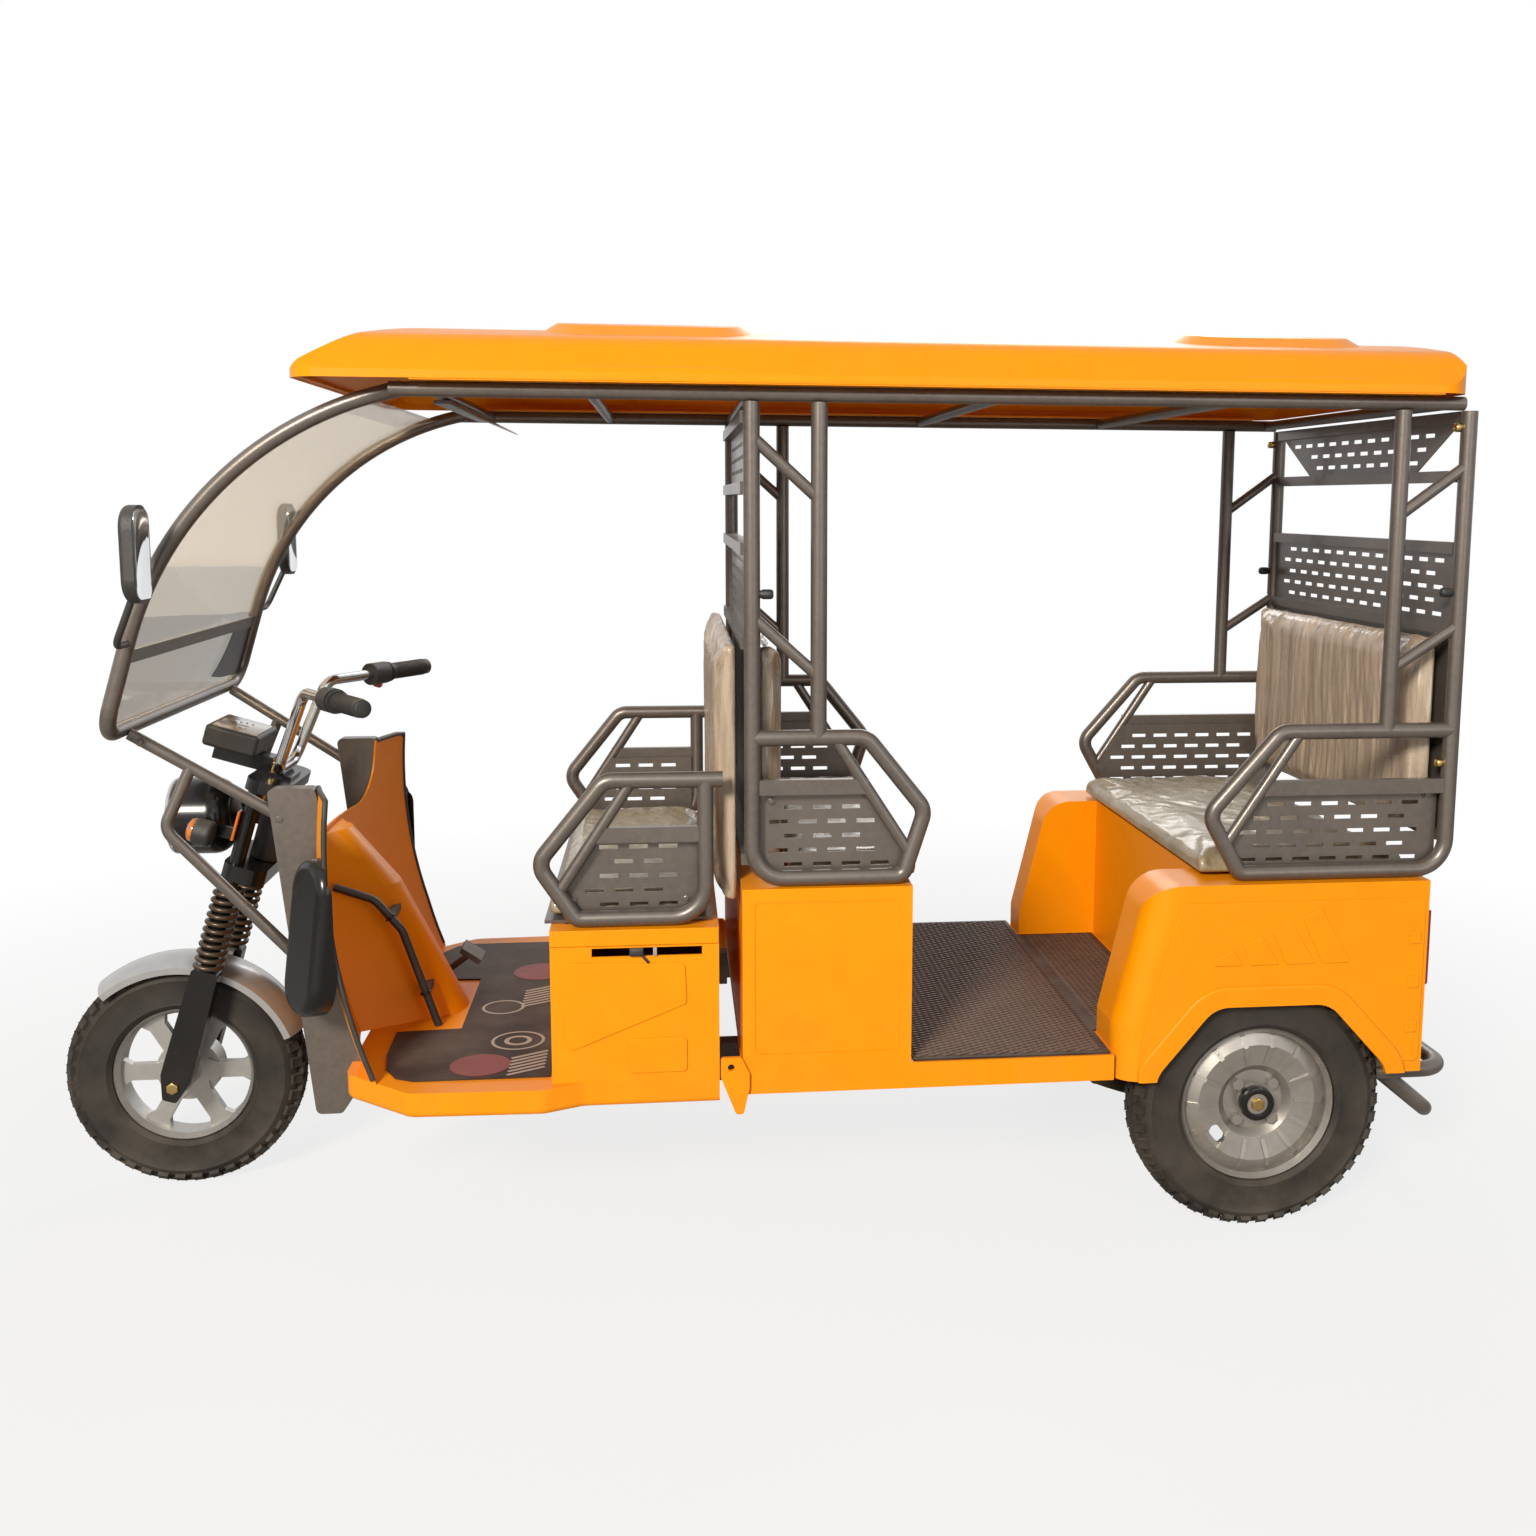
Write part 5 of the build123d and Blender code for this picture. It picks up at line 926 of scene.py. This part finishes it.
def printed_ring(name, centre, radius, width):
    """A line of ink: a torus pressed almost flat."""
    piece = ring(name, (0, 0, 0), radius - width / 2, width / 2, sides=64, tube_sides=8)
    piece.scale = (1.0, 1.0, INK / width)
    piece.location = (*centre, FRONT_MAT_TOP + INK / 2)
    return apply_place(piece)


def printed_stripes(name, start, count):
    bars = []
    for i in range(count):
        place = (start[0], start[1] + i * 0.017, FRONT_MAT_TOP + INK / 2)
        bars.append(cube(name, place, (0.075, 0.007, INK), (0, 0, 0.5)))
    return round_edges(join(bars, name), 0.0002, 1)


reds = [
    printed_disc("mat_disc", (0.528, 0.372), 0.056, 0.026),
    printed_disc("mat_disc", (0.462, -0.200), 0.060, 0.030),
]
pales = [
    printed_ring("mat_ring", (0.470, 0.245), 0.052, 0.006),
    printed_ring("mat_ring", (0.470, 0.245), 0.027, 0.009),
    printed_stripes("mat_stripes", (0.440, 0.325), 6),
    printed_stripes("mat_stripes", (0.450, -0.080), 7),
    printed_ring("mat_ring", (0.520, 0.040), 0.044, 0.006),
]
finish(join(reds, "mat_print_red"), MAT_RED)
finish(join(pales, "mat_print_pale"), MAT_PALE)
print("driver's mat printed")

# %% [markdown]
# ## Lamps and signals
# A round headlamp with a ribbed lens in a bright ring, and two amber signals on stems. A lens is a shallow
# dome, so a short arc is traced from the rim to the middle and spun about the lamp's own axis.

# %% Headlamp and signals
def dome(name, centre, axis, radius, rise, lip):
    """A lens with a straight lip, spun about its axis."""
    side = Vector((0, 1, 0)) if abs(Vector(axis).y) < 0.9 else Vector((1, 0, 0))
    axis, centre = Vector(axis).normalized(), Vector(centre)
    steps = [(radius, -lip), (radius, 0.0)]
    steps += [(radius * math.cos(a), rise * math.sin(a)) for a in (0.35, 0.7, 1.05, 1.35)] + [(0.0, rise)]
    points = [centre + side * out + axis * ahead for out, ahead in steps]
    return spun(name, [tuple(point) for point in points], centre, axis, steps=40)


low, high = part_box("headlamp")
lamp_centre = Vector((high.x, 0.0, (low.z + high.z) / 2))
headlamp_lens = dome("headlamp_lens", lamp_centre, (1, 0, 0), 0.068, 0.014, 0.004)
finish(headlamp_lens, WHITE_LENS, "steering", 50)
headlamp_ring = ring("headlamp_ring", lamp_centre, 0.0715, 0.0058, (1, 0, 0), 56, 12)
finish(headlamp_ring, CHROME, "steering", 60)
signals = []
for side in (1, -1):
    place = on_fork(0.1245, side * 0.126, 0.532)
    signals.append(dome("signal_lens", place, FORK_AHEAD, 0.0235, 0.011, 0.010))
finish(join(signals, "signal_lenses"), AMBER_LENS, "steering", 50)
print("lamp rim at", tuple(round(v, 3) for v in lamp_centre))

# %% Reflector strips on the fork
strips = []
for side in (1, -1):
    strip = cube("reflector", on_fork(0.0525, side * 0.098, 0.555), (0.006, 0.022, 0.062), FORK_TURN)
    strips.append(round_edges(strip, 0.0022, 3))
finish(join(strips, "fork_reflectors"), AMBER_LENS, "steering")
print("reflectors", len(strips))

# %% [markdown]
# ## Handlebar fittings
# The instrument box has a tan window with a dial behind it, the grips have moulded ribs, a red switch hangs
# from the far housing, and the lock below the box is bright brass. All of them turn with the fork.

# %% Instrument window and dial
WINDOW = finish_paint(
    "dial_window", (0.36, 0.285, 0.19), (0.25, 0.19, 0.12), 0.12, coat=0.8, dust=0.12, splash=0.0,
    grain=260.0, pits=0.8, bump=0.12, drift=22.0,
)
BRASS = finish_paint(
    "brass", (0.62, 0.42, 0.16), (0.44, 0.29, 0.10), 0.26, metallic=1.0, dust=0.1, scratches=0.3,
)
window = cube("instrument_window", on_fork(0.112, 0.0, 0.7313), (0.087, 0.131, 0.0024), FORK_TURN)
round_edges(window, 0.0009, 2)
finish(window, WINDOW, "steering")
marks = []
for i in range(9):
    angle = math.radians(-100 + 25 * i)
    at = on_fork(0.104 + 0.028 * math.cos(angle), 0.028 * math.sin(angle), 0.7328)
    marks.append(drum("dial_mark", at, 0.0022, 0.0006, FORK_UP, 12))
marks.append(cube("dial_needle", on_fork(0.113, 0.004, 0.7329), (0.026, 0.0018, 0.0006), FORK_TURN))
finish(round_edges(join(marks, "dial_marks"), 0.0001, 1), GLOSS_BLACK, "steering")
lock = drum("steering_lock", on_fork(0.030, 0.0, 0.668), 0.017, 0.022, FORK_UP, 28)
press(lock, FORK_UP, 0.006, 0.004)
finish(round_edges(lock, 0.0012, 2), BRASS, "steering")
print("dial marks", len(marks))

# %% Grips and switches
BAR_BEND = on_fork(-0.005, 0.100, 0.850)
BAR_END = on_fork(-0.158, 0.360, 0.898)
bar_way = (BAR_END - BAR_BEND).normalized()
ribs = []
for i in range(13):
    place = BAR_END - bar_way * (0.012 + 0.0075 * i)
    ribs.append(ring("grip_rib", place, 0.0170, 0.0013, bar_way, 24, 6))
end_cap = drum("grip_end", BAR_END + bar_way * 0.002, 0.0150, 0.006, bar_way, 24)
ribs.append(round_edges(end_cap, 0.002, 2))
finish(both_sides(join(ribs, "grip_ribs"), "grip_ribs"), BLACK, "steering", 60)
SWITCH_RED = finish_paint("red_switch", (0.42, 0.022, 0.018), (0.33, 0.016, 0.014), 0.3, coat=0.5, dust=0.05)
far_way = Vector((bar_way.x, -bar_way.y, bar_way.z))
far_end = Vector((BAR_END.x, -BAR_END.y, BAR_END.z))
switch = cube("red_switch", far_end - far_way * 0.142 - FORK_UP * 0.024, (0.018, 0.020, 0.012), FORK_TURN)
press(switch, -FORK_UP, 0.003, 0.003)
finish(round_edges(switch, 0.0015, 2), SWITCH_RED, "steering")
print("grip ribs", len(ribs))

# %% [markdown]
# ## Mirror glass
# Each mirror is a black shell with a silvered glass set in its back. A thin block is bevelled along its
# four short edges to the shell's outline, then its face is inset so that the edge catches light.

# %% Mirror glass
SILVERED = finish_paint(
    "silvered_glass", (0.72, 0.73, 0.74), (0.68, 0.69, 0.71), 0.04, metallic=1.0, dust=0.1, splash=0.0,
    scratches=0.05, bump=0.01,
)
glass = cube("mirror_glass", (1.0392, 0.512, 1.322), (0.0024, 0.074, 0.150))
edit(glass)
pick(glass, lambda edge: abs((edge.verts[0].co - edge.verts[1].co).normalized().x) > 0.9, "EDGE")
bpy.ops.mesh.bevel(offset=0.020, segments=6)
done()
press(glass, (-1, 0, 0), 0.0022, -0.0008)
finish(both_sides(glass, "mirror_glasses"), SILVERED)
print("mirror glasses 2")

# %% [markdown]
# ## Edge trim of the leg shield
# Raw sheet edges are covered with a black rubber bead. The bead follows the shield's curve, worked out from
# the same bow and turning axis as the sheet: a chain of edges becomes a curve, gets a round section and is
# turned back into a mesh.

# %% Shield edge trim
SHIELD_AXIS = (-0.310, 0.739)
SHIELD_BOW = 1.144
SHIELD_MIDDLE = 1.178


def on_shield(y, z):
    """A point of the bowed shield at a given width and height."""
    radius = SHIELD_MIDDLE - SHIELD_BOW + math.sqrt(SHIELD_BOW ** 2 - y ** 2)
    return (SHIELD_AXIS[0] + math.sqrt(radius ** 2 - (z - SHIELD_AXIS[1]) ** 2) - 0.0015, y, z)


def rod(name, points, radius, sides=2):
    piece = trace(name, points)
    done()
    bpy.ops.object.convert(target="CURVE")
    curve = bpy.context.object.data
    curve.bevel_depth = radius
    curve.bevel_resolution = sides
    curve.use_fill_caps = True
    bpy.ops.object.convert(target="MESH")
    return named(name)


edge = []
for i in range(15):
    z = 0.362 + (0.876 - 0.362) * i / 14
    edge.append(on_shield(min(0.4385, 0.448 - 0.042 * (z - 0.355) / 0.525), z))
edge += [on_shield(0.406 - 0.030 * i, 0.879) for i in range(1, 5)]
finish(both_sides(rod("shield_bead", edge, 0.0052), "shield_beads"), BLACK, angle=60)
print("bead points", len(edge))

# %% [markdown]
# ## Wheel fittings
# A rear wheel carries a black rubber hub cap with the axle nut in its sunk centre and a short valve; the front
# axle ends in a nut on each fork leg. They are turned or hexagonal blanks with their edges broken.

# %% Wheel fittings
def nut(name, at, axis, radius, height):
    piece = drum(name, at, radius, height, axis, 6)
    edit(piece)
    pick(piece, lambda face: abs(face.normal.dot(Vector(axis))) > 0.9)
    bpy.ops.mesh.inset(thickness=radius * 0.25)
    bpy.ops.mesh.select_all(action="DESELECT")
    done()
    return round_edges(piece, 0.0012, 2)


WHEEL_MIDDLE = 0.412
VALVE_WAY = Vector((0.62, 0, 0.78))
# Rows: radius and distance out from the wheel's middle, from the cap's skirt to its sunk centre
CAP_SECTION = (
    (0.0335, 0.020), (0.0345, 0.030), (0.0330, 0.0385), (0.0280, 0.0405), (0.0215, 0.0385), (0.0205, 0.0355),
    (0.0, 0.0352),
)
for side, body in ((1, "rear_wheel_left"), (-1, "rear_wheel_right")):
    low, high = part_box("rear_rim_left" if side > 0 else "rear_rim_right")
    hub = Vector(((low.x + high.x) / 2, side * WHEEL_MIDDLE, (low.z + high.z) / 2))
    out = Vector((0, side, 0))
    points = [tuple(hub + Vector((0, 0, r)) + out * y) for r, y in CAP_SECTION]
    cap = spun(body + "_cap", points, tuple(hub), (0, 1, 0), steps=40)
    cap = modify(cap, "SOLIDIFY", thickness=0.0012, offset=-1.0)
    finish(cap, GLOSS_BLACK, body, 50)
    finish(nut(body + "_nut", hub + out * 0.0385, (0, 1, 0), 0.0135, 0.007), BRASS, body)
    points = [tuple(hub + VALVE_WAY * r + out * 0.024) for r in (0.092, 0.110, 0.130)]
    valve = rod(body + "_valve", points, 0.0048)
    finish(valve, BLACK, body, 50)
for side in (1, -1):
    axle_nut = nut("front_axle_nut", on_fork(LEG_AHEAD, side * 0.111, 0.0), (0, 1, 0), 0.0125, 0.008)
    axle_nut.name = "front_axle_nut_left" if side > 0 else "front_axle_nut_right"
    finish(axle_nut, BRASS, "steering")
print("wheel fittings done")

# %% [markdown]
# ## Bolts, pegs and clips
# Hexagon bolts hold the stays, the armrest sheets and the lugs; short rubber pegs stand on the pillars, and
# straps hold the pipe on the tunnel. Every bolt is a washer and a hexagon head made once per place.

# %% Bolts
def bolt(at, axis, radius):
    axis = Vector(axis).normalized()
    washer = drum("washer", Vector(at) + axis * 0.0007, radius * 1.45, 0.0016, axis, 20)
    head = drum("head", Vector(at) + axis * (0.0014 + radius * 0.35), radius, radius * 0.7, axis, 6)
    edit(head)
    pick(head, lambda face: face.normal.dot(axis) > 0.9)
    bpy.ops.mesh.inset(thickness=radius * 0.22)
    bpy.ops.transform.translate(value=axis * radius * 0.12)
    done()
    return join([washer, head], "bolt")


# Columns: place on the left side, radius; each has a twin on the right side
BOLTS = (
    ((0.886, 0.3125, 0.827), 0.0070), ((1.118, 0.3370, 0.978), 0.0060),
    ((0.345, 0.4355, 0.690), 0.0055), ((0.140, 0.4355, 0.690), 0.0055),
    ((-0.017, 0.4355, 0.870), 0.0065), ((-0.240, 0.4355, 0.735), 0.0055),
    ((-0.905, 0.4355, 0.726), 0.0055), ((-1.290, 0.4355, 0.860), 0.0065),
)
left_bolts = join([bolt(at, (0, 1, 0), radius) for at, radius in BOLTS], "bolts")
finish(both_sides(left_bolts, "frame_bolts"), GREY, angle=25)
print("bolts", 2 * len(BOLTS))

# %% Pegs and knobs on the pillars
def peg(name, at, axis, radius, length):
    """A short rubber buffer with a rounded end and a neck at its foot."""
    axis = Vector(axis).normalized()
    side = Vector((0, 0, 1))
    shape = (
        (0.0, length), (radius * 0.6, length * 0.99), (radius * 0.92, length * 0.9), (radius, length * 0.72),
        (radius, length * 0.2), (radius * 0.8, length * 0.08), (radius * 0.8, -0.003),
    )
    points = [tuple(Vector(at) + side * r + axis * along) for r, along in shape]
    return spun(name, points, at, axis, steps=20)


PILLAR_R = 0.015
black_pegs, brass_knobs = [], []
# Columns: pillar X, height, way it points, knob instead of peg; each stands on both sides
for x, z, way, knob in (
    (0.018, 1.250, -1, False), (-1.325, 1.252, 1, False), (-1.325, 1.560, 1, True), (-1.325, 0.924, 1, True),
):
    for side in (1, -1):
        foot = (x + way * PILLAR_R, side * 0.450, z)
        if knob:
            brass_knobs.append(peg("knob", foot, (way, 0, 0), 0.0085, 0.014))
        else:
            black_pegs.append(peg("peg", foot, (way, 0, 0), 0.0090, 0.024))
finish(join(black_pegs, "pillar_pegs"), BLACK, angle=60)
finish(join(brass_knobs, "pillar_knobs"), BRASS, angle=60)
print("pegs", len(black_pegs), "knobs", len(brass_knobs))

# %% Straps on the pipe and the latch of the driver's box
straps = []
for x, z, way in ((0.728, 0.583, (-0.63, 0, -0.776)), (0.664, 0.425, (-0.312, 0, -0.950))):
    straps.append(ring("strap", (x, 0.128, z), 0.0092, 0.0026, way, 28, 8))
finish(join(straps, "pipe_straps"), GLOSS_BLACK, angle=60)
latch = cube("box_latch", (0.231, 0.4715, 0.6005), (0.026, 0.010, 0.015))
press(latch, (0, 1, 0), 0.003, 0.003)
arm = cube("box_latch_arm", (0.216, 0.4735, 0.588), (0.005, 0.004, 0.022), (0, 0.7, 0))
finish(round_edges(join([latch, arm], "box_latch"), 0.001, 2), BLACK)
tag = round_edges(cube("box_tag", (0.1975, 0.4725, 0.6005), (0.007, 0.003, 0.017)), 0.0008, 2)
finish(tag, MAT_PALE)

# %% [markdown]
# ## Front part of the driver's mat
# The printed mat runs on beside the tunnel up to the shield's foot. Its outline is traced point by point,
# filled to one face and extruded to the mat's thickness.

# %% Front part of the driver's mat
MAT_OUTLINE = (
    (0.590, 0.162), (0.716, 0.170), (0.712, 0.300), (0.700, 0.372), (0.676, 0.418), (0.640, 0.436),
    (0.590, 0.436),
)


def filled(name, points, up):
    """A flat piece: the traced outline is closed, filled and given a thickness."""
    piece = trace(name, list(points) + [points[0]])
    bpy.ops.mesh.select_all(action="SELECT")
    bpy.ops.mesh.remove_doubles(threshold=0.00005)
    bpy.ops.mesh.select_all(action="SELECT")
    bpy.ops.mesh.edge_face_add()
    bpy.ops.mesh.extrude_region_move(TRANSFORM_OT_translate={"value": up})
    bpy.ops.mesh.select_all(action="SELECT")
    bpy.ops.mesh.normals_make_consistent(inside=False)
    done()
    return piece


PAN_TOP, MAT_THICK = 0.3552, 0.0036
left_mat = filled("mat_front", [(x, y, PAN_TOP) for x, y in MAT_OUTLINE], (0, 0, MAT_THICK))
finish(both_sides(left_mat, "mat_fronts"), MAT_RUBBER)
print("mat fronts 2")

# %% [markdown]
# ## Dark corner of the screen
# A dark trim fills the far lower corner of the screen's lower sheet, with a hollow curve for its edge. It
# could be cut from thin plastic film and stuck on, so it is traced flat on the sheet's inner face.

# %% Dark corner of the lower sheet
SHEET_FOOT = Vector((1.152, 0.0, 1.000))
SHEET_RISE = Vector((-0.2873, 0.0, 0.9578))
SHEET_INSIDE = Vector((-0.9578, 0.0, -0.2873))
# Rows: place across the vehicle and height up the sheet
CORNER = (
    (-0.404, 0.150), (-0.262, 0.150), (-0.258, 0.128), (-0.246, 0.104), (-0.228, 0.080), (-0.204, 0.058),
    (-0.176, 0.040), (-0.250, 0.030), (-0.404, 0.022),
)
SHEET_FACE, TRIM_THICK = 0.0019, 0.0011
on_face = SHEET_FOOT + SHEET_INSIDE * SHEET_FACE
points = [tuple(on_face + SHEET_RISE * rise + Vector((0, across, 0))) for across, rise in CORNER]
trim = filled("screen_corner", points, tuple(SHEET_INSIDE * TRIM_THICK))
finish(trim, GLOSS_BLACK)
print("corner faces", len(trim.data.polygons))

# %% [markdown]
# ## Colour view
# The picture keeps the standard view of colours.

# %% Colour view
scene.view_settings.view_transform = "Standard"
